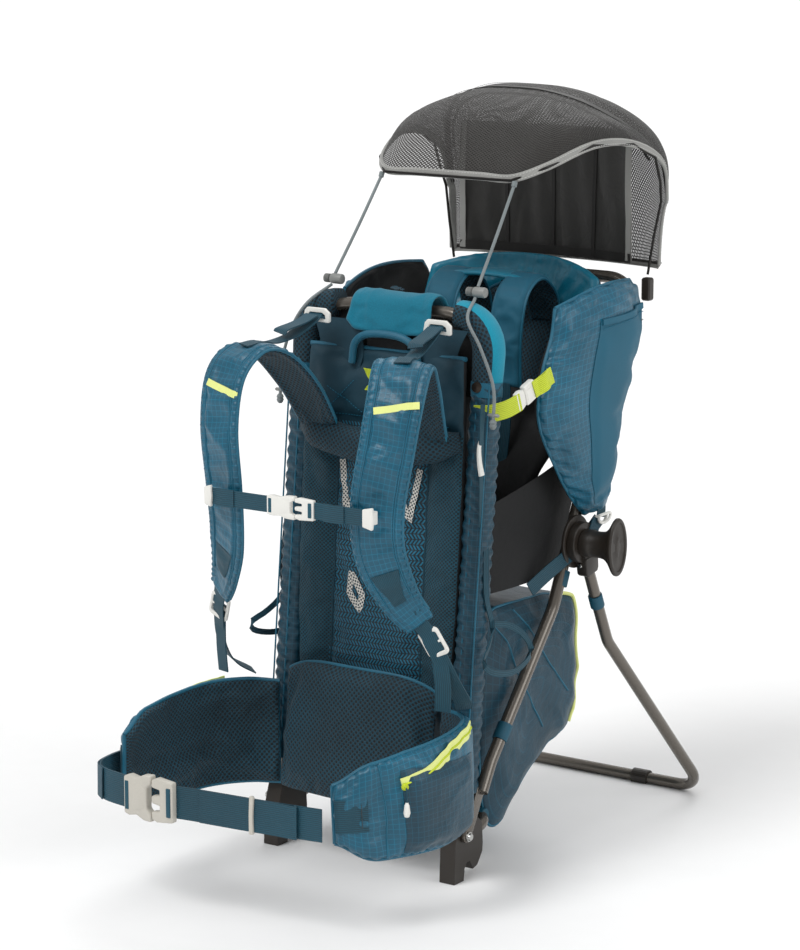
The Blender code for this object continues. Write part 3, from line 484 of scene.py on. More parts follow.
def oval(half_width: float, half_height: float, power: float = 2.0, sides: int = 12) -> Outline:
    """A closed outline from a circle (power 2) to a rounded oblong (power 6)."""
    outline = []
    for step in range(sides + 1):
        angle = math.tau * step / sides
        c, s = math.cos(angle), math.sin(angle)
        outline.append(
            (
                half_width * math.copysign(abs(c) ** (2 / power), c),
                half_height * math.copysign(abs(s) ** (2 / power), s),
            )
        )
    return outline


def oblong(half_width: float, half_height: float, corner: float, steps: int = 3) -> Outline:
    """A closed rectangle with rounded corners, as points."""
    outline = []
    for sx, sz, start in ((1, 1, 0), (-1, 1, 90), (-1, -1, 180), (1, -1, 270)):
        for step in range(steps + 1):
            angle = math.radians(start + 90 * step / steps)
            outline.append(
                (
                    sx * (half_width - corner) + corner * math.cos(angle),
                    sz * (half_height - corner) + corner * math.sin(angle),
                )
            )
    return outline


def surface(
    place: Place,
    columns: int,
    rows: int,
    uv: Callable[[float, float], Pair],
    closed: bool = False,
    pick: Callable[[Vector, Vector], int] | None = None,
) -> BMesh:
    """Bends a flat grid into a surface.

    Args:
        place: Gives the point at u, v, both from 0 to 1.
        columns: Faces along u.
        rows: Faces along v.
        uv: Gives the UV map, in metres, at u, v.
        closed: Merges edges that meet and fills what stays open.
        pick: Gives a face's material index from its centre and normal.

    Returns:
        The new mesh, with its UV map.
    """
    work = bmesh.new()
    bmesh.ops.create_grid(work, x_segments=columns, y_segments=rows, size=0.5)
    layer = work.loops.layers.uv.new("UVMap")
    for face in work.faces:
        for loop in face.loops:
            loop[layer].uv = uv(loop.vert.co.x + 0.5, loop.vert.co.y + 0.5)
    for vertex in work.verts:
        vertex.co = place(min(max(vertex.co.x + 0.5, 0.0), 1.0), min(max(vertex.co.y + 0.5, 0.0), 1.0))
    if closed:
        bmesh.ops.remove_doubles(work, verts=work.verts, dist=MERGE)
        bmesh.ops.holes_fill(work, edges=[edge for edge in work.edges if edge.is_boundary], sides=0)
    bmesh.ops.recalc_face_normals(work, faces=work.faces)
    if pick:
        work.normal_update()
        for face in work.faces:
            face.material_index = pick(face.calc_center_median(), face.normal)
    return work


def loft(
    track: Track, section: Callable[[float], Outline] | Outline, stations: int,
    pick: Callable[[Vector, Vector], int] | None = None,
) -> BMesh:
    """Sweeps a closed outline along a track and closes its ends.

    Args:
        track: The line to follow.
        section: The outline as (side, out) pairs, or a function that gives it at t.
        stations: Steps along the track.
        pick: Gives a face's material index from its centre and normal.

    Returns:
        The new mesh, its UV map in metres round and along.
    """
    outline_at = section if callable(section) else lambda t: section
    ring = outline_at(0.5)
    round_lengths = [0.0]
    for first, second in zip(ring, ring[1:]):
        round_lengths.append(round_lengths[-1] + math.dist(first, second))
    last = len(ring) - 1

    def place(u: float, v: float) -> Vector:
        """A point of the swept outline."""
        point, side, out = track.at(v)
        a, b = outline_at(v)[round(u * last)]
        return point + side * a + out * b

    return surface(
        place, last, stations, lambda u, v: (round_lengths[round(u * last)], v * track.length), True, pick,
    )


def cord_mesh(track: Track, radius: float, stations: int = 60, sides: int = 10) -> BMesh:
    """A round cord, wire or pipe along a track."""
    return loft(track, oval(radius, radius, sides=sides), stations)


def strap_mesh(track: Track, width: float, thick: float = 0.0016, stations: int = 40) -> BMesh:
    """Flat webbing along a track, its width along the track's side."""
    half = width / 2
    ribs = 10
    top = [(half - width * step / ribs, thick / 2) for step in range(ribs + 1)]
    outline = [*top, *[(a, -thick / 2) for a, _ in reversed(top)], top[0]]
    return loft(track, outline, stations)


def turned(
    start: Sequence[float], end: Sequence[float], rings: Sequence[Pair], sides: int = 24,
    squash: float = 1.0,
) -> BMesh:
    """A lathe shape between two points.

    Args:
        start: Where the axis starts.
        end: Where it ends.
        rings: (share of the way, radius) pairs.
        sides: Faces round the axis.
        squash: The second radius over the first, for an oval.

    Returns:
        The new mesh.
    """
    first, last = Vector(start), Vector(end)
    axis = (last - first).normalized()
    side = axis.cross(Vector((0, 0, 1)) if abs(axis.z) < 0.9 else Vector((0, 1, 0))).normalized()
    up = side.cross(axis)

    def place(u: float, v: float) -> Vector:
        """A point on one of the rings."""
        share, radius = rings[round(v * (len(rings) - 1))]
        angle = math.tau * u
        return first.lerp(
            last, share,
        ) + side * radius * math.cos(angle) + up * radius * squash * math.sin(angle)

    return surface(place, sides, len(rings) - 1, lambda u, v: (u * 0.05, v * 0.02), True)


def plate(
    outline: Outline, depth: float, bevel: float, turn: Matrix, window: Outline | None = None,
) -> BMesh:
    """A moulded plate with rounded edges, with a window if one is given.

    Args:
        outline: Its (x, z) points.
        depth: Its thickness along y.
        bevel: How far its edges are rounded.
        turn: Places the plate.
        window: The (x, z) points of a hole, as many as the outline has.

    Returns:
        The new mesh.
    """
    work = bmesh.new()
    loops = []
    for points in (outline, window or []):
        corners = [work.verts.new((x, -depth / 2, z)) for x, z in points]
        edges = [
            work.edges.new((a, b)) for a, b in zip(corners, [*corners[1:], *corners[:1]])
        ] if corners else []
        loops.append(edges)
    if window:
        bmesh.ops.bridge_loops(work, edges=loops[0] + loops[1])
    else:
        bmesh.ops.contextual_create(work, geom=loops[0])
    grown = bmesh.ops.extrude_face_region(work, geom=work.faces[:])
    moved = [item for item in grown["geom"] if isinstance(item, bmesh.types.BMVert)]
    bmesh.ops.translate(work, vec=(0, depth, 0), verts=moved)
    bmesh.ops.recalc_face_normals(work, faces=work.faces)
    sharp = [
        edge
        for edge in work.edges if len(edge.link_faces) == 2 and edge.calc_face_angle(0.0) > math.radians(40)
    ]
    bmesh.ops.bevel(
        work, geom=sharp, offset=bevel, offset_type="OFFSET", affect="EDGES", segments=3, profile=0.5,
        material=-1, clamp_overlap=True,
    )
    bmesh.ops.transform(work, matrix=turn, verts=work.verts)
    return work


def stand(x: float, y: float, z: float, yaw: float = 0.0, lean: float = 0.0, roll: float = 0.0) -> Matrix:
    """A place for a plate: its centre, then turns about z, x and y in degrees."""
    turns = Matrix.Rotation(math.radians(yaw), 4, "Z") @ Matrix.Rotation(math.radians(lean), 4, "X")
    return Matrix.Translation((x, y, z)) @ turns @ Matrix.Rotation(math.radians(roll), 4, "Y")


def joined(parts: Sequence[BMesh], indices: Sequence[int] | None = None) -> BMesh:
    """Puts several meshes in one, the material index of each raised by its entry in indices."""
    whole = bmesh.new()
    for number, part in enumerate(parts):
        if indices:
            for face in part.faces:
                face.material_index += indices[number]
        scratch = bpy.data.meshes.new("scratch")
        part.to_mesh(scratch)
        part.free()
        whole.from_mesh(scratch)
        bpy.data.meshes.remove(scratch)
    return whole


def rounded(corners: Sequence[Sequence[float]], radius: float, steps: int = 8) -> list[Vector]:
    """A polyline whose inner corners are arcs.

    Args:
        corners: The corners of the line.
        radius: The radius of each arc.
        steps: Steps of each arc.

    Returns:
        The points of the line.
    """
    corners = [Vector(corner) for corner in corners]
    path = [corners[0]]
    for before, corner, after in zip(corners, corners[1:], corners[2:]):
        back = (before - corner).normalized()
        ahead = (after - corner).normalized()
        half = back.angle(ahead) / 2
        reach = min(
            radius / math.tan(half), 0.49 * (before - corner).length, 0.49 * (after - corner).length,
        )
        middle = corner + (back + ahead).normalized() * (reach / math.cos(half))
        first = corner + back * reach - middle
        last = corner + ahead * reach - middle
        turn = first.angle(last)
        for step in range(steps + 1):
            part = step / steps
            near, far = math.sin((1 - part) * turn), math.sin(part * turn)
            path.append(middle + (first * near + last * far) / math.sin(turn))
    path.append(corners[-1])
    return path


def creases(place: Vector, size: float, seed: float = 0.0) -> float:
    """Folds of soft cloth as a height from about -1 to 1.

    Args:
        place: Where to read them, in metres.
        size: The rough distance between two folds, in metres.
        seed: Moves the pattern.

    Returns:
        The height, with ridges narrower than valleys.
    """
    spot = place / size + Vector((seed, seed * 1.7, seed * 2.3))
    fold = 1.0 - 2.0 * abs(noise.noise(spot))
    return 0.7 * (2.0 * fold**3 - 1.0) * 0.6 + 0.5 * noise.noise(spot * 2.1)


# ------------------------------------------------------------------------------- workshop
class Skin:
    """The outside of a finished piece, for trims that lie on it."""

    def __init__(self, piece: Object) -> None:
        """Reads the piece's mesh.

        Args:
            piece: A finished piece in the row frame.
        """
        points = [vertex.co - ROW_SHIFT for vertex in piece.data.vertices]
        self.tree = BVHTree.FromPolygons(points, [polygon.vertices[:] for polygon in piece.data.polygons])

    def land(self, point: Vector, out: Vector, lift: float = 0.0006, reach: float = 0.025) -> Vector:
        """Drops a point on the skin.

        Args:
            point: A point near the skin.
            out: The outward direction there.
            lift: How far above the skin it ends.
            reach: From how far outside it is dropped.

        Returns:
            The point on the skin, raised by lift.
        """
        hit = self.tree.ray_cast(point + out * reach, -out, 2.0 * reach)
        spot = hit[0] if hit[0] is not None else self.tree.find_nearest(point)[0]
        return spot + out * lift


@dataclass
class Pad:
    """A stuffed panel: two skins on both sides of a middle surface, sewn together round their edge.

    `place` gives the middle surface at u, v. The outer skin is on the side of du x dv times `out`.
    `pinch` says, from 0 to 1, how far a sewn line draws the skins together. `wrinkle` gives the
    height of the folds, in metres, at u, v on the outer (1) or inner (-1) skin.
    """

    name: str
    place: Place
    width: float
    length: float
    thickness: float
    finishes: tuple[Finish, ...]
    out: int = 1
    crown: float = 0.016
    rim: float = 0.35
    cell: float = 0.0055
    puff: float = 0.004
    fill: float = 0.6
    pinch: Profile | None = None
    wrinkle: Callable[[float, float, int], float] | None = None
    pick: Callable[[float, float, int], int] | None = None
    body: str = "frame"
    slot: str | None = None
    replaces: tuple[str, ...] = ()
    piece: Object | None = None
    skin: Skin | None = None

    def normal(self, u: float, v: float) -> Vector:
        """The direction from the middle surface to the outer skin."""
        step = 0.004
        across = self.place(min(u + step, 1.0), v) - self.place(max(u - step, 0.0), v)
        along = self.place(u, min(v + step, 1.0)) - self.place(u, max(v - step, 0.0))
        return across.cross(along).normalized() * self.out

    def half(self, u: float, v: float) -> float:
        """Half the thickness at u, v, less near the edge and at a sewn line."""
        near = min(min(u, 1 - u) * self.width, min(v, 1 - v) * self.length)
        rise = math.sqrt(max(0.0, 1 - (1 - min(near / self.crown, 1.0)) ** 2))
        drawn = 1.0 - 0.75 * (self.pinch(u, v) if self.pinch else 0.0)
        return self.thickness / 2 * (self.rim + (1 - self.rim) * rise) * drawn

    def spot(self, u: float, v: float, lift: float = 0.0006, side: int = 1) -> Vector:
        """A point on the finished outer (1) or inner (-1) skin at u, v."""
        out = self.normal(u, v) * side
        start = self.place(u, v) + out * self.half(u, v)
        return self.skin.land(start, out, lift) if self.skin else start + out * lift

    def mesh(self) -> BMesh:
        """Both skins and the rim between them, with a UV map in metres."""
        columns = max(4, round(self.width / self.cell))
        rows = max(4, round(self.length / self.cell))
        work = bmesh.new()
        bmesh.ops.create_grid(work, x_segments=columns, y_segments=rows, size=0.5)
        layer = work.loops.layers.uv.new("UVMap")
        spots = work.verts.layers.float_vector.new("spot")
        for vertex in work.verts:
            vertex[spots] = (
                min(max(vertex.co.x + 0.5, 0.0), 1.0), min(max(vertex.co.y + 0.5, 0.0), 1.0), 1.0,
            )
        for face in work.faces:
            for loop in face.loops:
                loop[layer].uv = (loop.vert[spots].x * self.width, loop.vert[spots].y * self.length)
        copied = bmesh.ops.duplicate(work, geom=[*work.verts, *work.edges, *work.faces])["geom"]
        for item in copied:
            if isinstance(item, bmesh.types.BMVert):
                item.co.z -= 0.05
                item[spots] = (item[spots].x, item[spots].y, -1.0)
        bmesh.ops.reverse_faces(
            work, faces=[item for item in copied if isinstance(item, bmesh.types.BMFace)],
        )
        rim = bmesh.ops.bridge_loops(work, edges=[edge for edge in work.edges if edge.is_boundary])["faces"]
        for face in work.faces:
            middle = sum((Vector(vertex[spots]) for vertex in face.verts), Vector()) / len(face.verts)
            side = 0 if face in rim else (1 if middle.z > 0 else -1)
            if self.pick:
                face.material_index = self.pick(middle.x, middle.y, side)
            elif len(self.finishes) > 1:
                face.material_index = 1 if side < 0 else 0
        for vertex in work.verts:
            u, v, side = vertex[spots]
            vertex.co = self.place(u, v) + self.normal(u, v) * side * self.half(u, v)
        bmesh.ops.recalc_face_normals(work, faces=work.faces)
        return work

    def pins(self) -> list[int]:
        """The vertices that stitching holds while the pad is blown up."""
        held = []
        for index, value in enumerate(self.piece.data.attributes["spot"].data):
            u, v, _ = value.vector
            near = min(min(u, 1 - u) * self.width, min(v, 1 - v) * self.length)
            if near < self.cell * 0.6 or (self.pinch and self.pinch(u, v) > 0.6):
                held.append(index)
        return held


@dataclass
class Workshop:
    """Turns meshes into pieces on the frame, and blows the stuffed ones up together."""

    pads: list[Pad] = field(default_factory=list)

    def piece(
        self,
        name: str,
        mesh: BMesh,
        finishes: Sequence[Finish],
        body: str | None = "frame",
        slot: str | None = None,
        replaces: Sequence[str] = (),
        levels: int = 0,
        sharp: float = 38.0,
    ) -> Object:
        """Makes one piece of the object.

        Args:
            name: The piece's name.
            mesh: Its mesh, about the feet. It is freed.
            finishes: One finish for each material index.
            body: The body it rides on, or None to leave it unattached.
            slot: The record's material slot, where it has one; not used.
            replaces: The CAD nodes it stands for.
            levels: Subdivision levels.
            sharp: The angle in degrees past which an edge stays sharp.

        Returns:
            The new object, its place in its mesh.
        """
        bmesh.ops.translate(mesh, vec=ROW_SHIFT, verts=mesh.verts)
        data = bpy.data.meshes.new(name)
        mesh.to_mesh(data)
        mesh.free()
        for finish in finishes:
            data.materials.append(finish.material())
        data.shade_smooth()
        data.set_sharp_from_angle(angle=math.radians(sharp))
        made = bpy.data.objects.new(name, data)
        bpy.context.scene.collection.objects.link(made)
        if levels:
            rounder = made.modifiers.new("round", "SUBSURF")
            rounder.levels = levels
            rounder.render_levels = levels
        if replaces:
            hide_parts(*replaces)
        if body:
            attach(made, body)
        LOG.info("%s: %d faces", name, len(data.polygons))
        return made

    def pad(self, pad: Pad) -> Pad:
        """Makes a stuffed piece, which is finished by `inflate`."""
        pad.piece = self.piece(
            pad.name, pad.mesh(), pad.finishes, pad.body, pad.slot, pad.replaces, sharp=180.0,
        )
        self.pads.append(pad)
        return pad

    def inflate(self) -> None:
        """Blows every pad up with the cloth solver, then subdivides and wrinkles it."""
        rest = {pad.name: [vertex.co.copy() for vertex in pad.piece.data.vertices] for pad in self.pads}
        for pad in self.pads:
            self.prepare(pad)
        for frame in range(1, BLOW_FRAMES + 1):
            bpy.context.scene.frame_set(frame)
        graph = bpy.context.evaluated_depsgraph_get()
        for pad in self.pads:
            blown = pad.piece.evaluated_get(graph).data
            moved = [vertex.co.copy() for vertex in blown.vertices]
            pad.piece.modifiers.clear()
            pad.piece.vertex_groups.clear()
            for vertex, start, end in zip(pad.piece.data.vertices, rest[pad.name], moved):
                step = end - start
                vertex.co = start + step * min(1.0, pad.puff / max(step.length, 1e-9))
        bpy.context.scene.frame_set(1)
        for pad in self.pads:
            self.finish(pad)

    def prepare(self, pad: Pad) -> None:
        """Gives a pad its cloth settings."""
        group = pad.piece.vertex_groups.new(name="sewn")
        group.add(pad.pins(), 1.0, "REPLACE")
        cloth = pad.piece.modifiers.new("cloth", "CLOTH")
        cloth.point_cache.frame_start = 1
        cloth.point_cache.frame_end = BLOW_FRAMES
        settings = cloth.settings
        settings.quality = 4
        settings.mass = 0.3
        settings.tension_stiffness = 12
        settings.compression_stiffness = 12
        settings.shear_stiffness = 4
        settings.bending_stiffness = 0.3
        settings.vertex_group_mass = "sewn"
        settings.use_pressure = True
        settings.uniform_pressure_force = 4.0
        settings.shrink_min = -0.05
        settings.effector_weights.gravity = 0.0

    def finish(self, pad: Pad) -> None:
        rounder = pad.piece.modifiers.new("round", "SUBSURF")
        rounder.levels = 1
        rounder.render_levels = 1
        graph = bpy.context.evaluated_depsgraph_get()
        fine = bpy.data.meshes.new_from_object(
            pad.piece.evaluated_get(graph), preserve_all_data_layers=True, depsgraph=graph,
        )
        fine.name = pad.name
        pad.piece.modifiers.clear()
        pad.piece.data = fine
        if pad.wrinkle:
            spots = [value.vector.copy() for value in fine.attributes["spot"].data]
            normals = [vertex.normal.copy() for vertex in fine.vertices]
            for vertex, spot, normal in zip(fine.vertices, spots, normals):
                share = min(1.0, abs(spot.z))
                vertex.co += normal * pad.wrinkle(spot.x, spot.y, 1 if spot.z >= 0 else -1) * share
        fine.attributes.remove(fine.attributes["spot"])
        fine.shade_smooth()
        pad.skin = Skin(pad.piece)
        LOG.info("%s: %d faces, blown up", pad.name, len(fine.polygons))


def band(
    points: Sequence[Vector], outs: Sequence[Vector], width: float, thick: float = 0.0012, across: int = 4,
) -> BMesh:
    """A strip of tape or webbing through points on a skin.

    Args:
        points: Its centre line.
        outs: The outward direction at each point.
        width: Its width.
        thick: Its thickness.
        across: Faces across it.

    Returns:
        The new mesh, with a UV map in metres.
    """
    last = len(points) - 1
    lengths = [0.0]
    for first, second in zip(points, points[1:]):
        lengths.append(lengths[-1] + (second - first).length)
    sides = []
    for index in range(last + 1):
        along = (points[min(index + 1, last)] - points[max(index - 1, 0)]).normalized()
        sides.append(along.cross(outs[index]).normalized())
    half = width / 2
    top = [(half - width * step / across, thick) for step in range(across + 1)]
    ring = [*top, *[(a, 0.0) for a, _ in reversed(top)], top[0]]
    count = len(ring) - 1

    def place(u: float, v: float) -> Vector:
        """A point of the strip."""
        index = round(v * last)
        a, b = ring[round(u * count)]
        return points[index] + sides[index] * a + outs[index] * b

    def flat(u: float, v: float) -> Pair:
        """Across and along, in metres."""
        return ring[round(u * count)][0], lengths[round(v * last)]

    return surface(place, count, last, flat, True)


def pad_band(
    pad: Pad, path: Sequence[Pair], width: float, steps: int = 24, thick: float = 0.0010, side: int = 1,
) -> BMesh:
    """A strip of tape on a pad through u, v points."""
    line = Track([(u * pad.width, v * pad.length, 0.0) for u, v in path])
    points, outs = [], []
    for step in range(steps + 1):
        flat, _, _ = line.at(step / steps)
        u, v = min(max(flat.x / pad.width, 0.0), 1.0), min(max(flat.y / pad.length, 0.0), 1.0)
        points.append(pad.spot(u, v, 0.0004, side))
        outs.append(pad.normal(u, v) * side)
    return band(points, outs, width, thick)


def pad_cord(
    pad: Pad, path: Sequence[Pair], radius: float, steps: int = 40, side: int = 1, lift: float = 0.0,
) -> BMesh:
    """Piping on a pad through u, v points."""
    line = Track([(u * pad.width, v * pad.length, 0.0) for u, v in path])
    points = []
    for step in range(steps + 1):
        flat, _, _ = line.at(step / steps)
        u, v = min(max(flat.x / pad.width, 0.0), 1.0), min(max(flat.y / pad.length, 0.0), 1.0)
        points.append(pad.spot(u, v, lift, side))
    return cord_mesh(Track(points, steps=3), radius, steps * 2, 8)


def stitches(
    points: Sequence[Vector], pitch: float = 0.0036, length: float = 0.0024, radius: float = 0.00035
) -> BMesh:
    """A row of thread stitches along points on a skin.

    Args:
        points: The line that the stitches follow.
        pitch: From one stitch to the next.
        length: Of one stitch.
        radius: Of the thread.

    Returns:
        The new mesh.
    """
    work = bmesh.new()
    travelled, wanted = 0.0, pitch / 2
    for index in range(len(points) - 1):
        step = points[index + 1] - points[index]
        while step.length > 1e-7 and wanted <= travelled + step.length:
            centre = points[index] + step * ((wanted - travelled) / step.length)
            turn = step.to_track_quat("X", "Z").to_matrix().to_4x4()
            matrix = Matrix.Translation(centre) @ turn @ Matrix.Diagonal(
                (length, radius * 2, radius * 2, 1.0)
            )
            bmesh.ops.create_cube(work, size=1.0, matrix=matrix)
            wanted += pitch
        travelled += step.length
    return work


# ------------------------------------------------------------------------------- studio
@dataclass
class Studio:
    """Floor, light and camera."""

    camera_at: tuple[float, float, float] = (2.2283, -3.2109, 1.2626)
    look_at: tuple[float, float, float] = (0.0385, -0.0766, 0.4938)
    lens: float = 120.98
    floor_side: float = 40.0

    def build(self) -> None:
        """Makes the camera, the floor, the world and the lamps."""
        eye = bpy.data.cameras.new("camera")
        eye.lens = self.lens
        eye.clip_end = 100.0
        camera = bpy.data.objects.new("camera", eye)
        camera.location = self.camera_at
        aim = Vector(self.look_at) - Vector(self.camera_at)
        camera.rotation_mode = "QUATERNION"
        camera.rotation_quaternion = aim.to_track_quat("-Z", "Y")
        bpy.context.scene.collection.objects.link(camera)
        bpy.context.scene.camera = camera
        work = bmesh.new()
        bmesh.ops.create_grid(work, x_segments=1, y_segments=1, size=self.floor_side / 2)
        data = bpy.data.meshes.new("floor")
        work.to_mesh(data)
        work.free()
        data.materials.append(FLOOR.material())
        floor = bpy.data.objects.new("floor", data)
        bpy.context.scene.collection.objects.link(floor)
        self.light()

    def lamp(self, name: str, power: float, angle: float, turn: tuple[float, float]) -> None:
        """Adds a broad lamp from an azimuth and an elevation in degrees; azimuth 0 shines along +Y."""
        data = bpy.data.lights.new(name, "SUN")
        data.energy = power
        data.angle = math.radians(angle)
        azimuth, elevation = (math.radians(part) for part in turn)
        back = Vector(
            (
                math.sin(azimuth) * math.cos(elevation), -math.cos(azimuth) * math.cos(elevation),
                math.sin(elevation),
            )
        )
        made = bpy.data.objects.new(name, data)
        made.rotation_mode = "QUATERNION"
        made.rotation_quaternion = back.to_track_quat("Z", "Y")
        bpy.context.scene.collection.objects.link(made)

    def light(self) -> None:
        """Lights the set evenly, brighter from above and from the left of the camera."""
        scene = bpy.context.scene
        scene.view_settings.view_transform = "Standard"
        world = bpy.data.worlds.new("studio")
        world.use_nodes = True
        scene.world = world
        tree = world.node_tree
        background = tree.nodes["Background"]
        background.inputs["Strength"].default_value = 0.56
        place = add(tree, "TexCoord")
        height = add(tree, "SeparateXYZ", None, {0: place.outputs["Generated"]})
        ramp = {"From Min": -0.2, "From Max": 1.0, "To Min": 0.62, "To Max": 1.25}
        level = add(tree, "MapRange", ramp, {"Value": height.outputs[2]})
        paths = add(tree, "LightPath")
        seen = {"From Min": 0.0, "From Max": 1.0, "To Max": 1.75}
        shown = add(
            tree, "MapRange", seen,
            {"Value": paths.outputs["Is Camera Ray"], "To Min": level.outputs["Result"]},
        )
        tree.links.new(shown.outputs["Result"], background.inputs["Color"])
        self.lamp("key", 1.5, 28.0, (-18.0, 52.0))
        self.lamp("side", 0.75, 34.0, (95.0, 30.0))
        self.lamp("back", 0.6, 30.0, (200.0, 45.0))


def tube_mesh(points: Sequence[Sequence[float]], radius: float, sides: int = 20) -> BMesh:
    """A bent tube along the points of a polyline."""
    track = Track(points, steps=1)
    return cord_mesh(track, radius, max(24, round(track.length / 0.006)), sides)


def spool(sections: Sequence[tuple[float, float, float]], y: float, z: float, sides: int = 36) -> BMesh:
    """A closed stack of ovals along X, each given as (x, half width along Y, half height)."""

    def place(u: float, v: float) -> Vector:
        """A point on one oval."""
        x, wide, high = sections[round(v * (len(sections) - 1))]
        return Vector((x, y + wide * math.cos(math.tau * u), z + high * math.sin(math.tau * u)))

    return surface(place, sides, len(sections) - 1, lambda u, v: (u * 0.08, v * 0.05), True)


def side_plate(
    outline: Outline, low: float, high: float, bevel: float, window: Outline | None = None,
) -> BMesh:
    """A moulded plate whose outline is (y, z), between two x."""
    turn = Matrix.Translation(((low + high) / 2, 0, 0)) @ Matrix.Rotation(math.radians(90), 4, "Z")
    return plate(outline, abs(high - low), bevel, turn, window)


def circle(y: float, z: float, radius: float, steps: int = 40) -> Outline:
    """A round outline."""
    return [
        (y + radius * math.cos(math.tau * step / steps), z + radius * math.sin(math.tau * step / steps))
        for step in range(steps)
    ]


def frame_y(z: float) -> float:
    """The centre line of the leaning back frame."""
    return 0.012 + 0.10 * z


def panel_y(z: float) -> float:
    """The front of the padded back."""
    return 0.073 * z


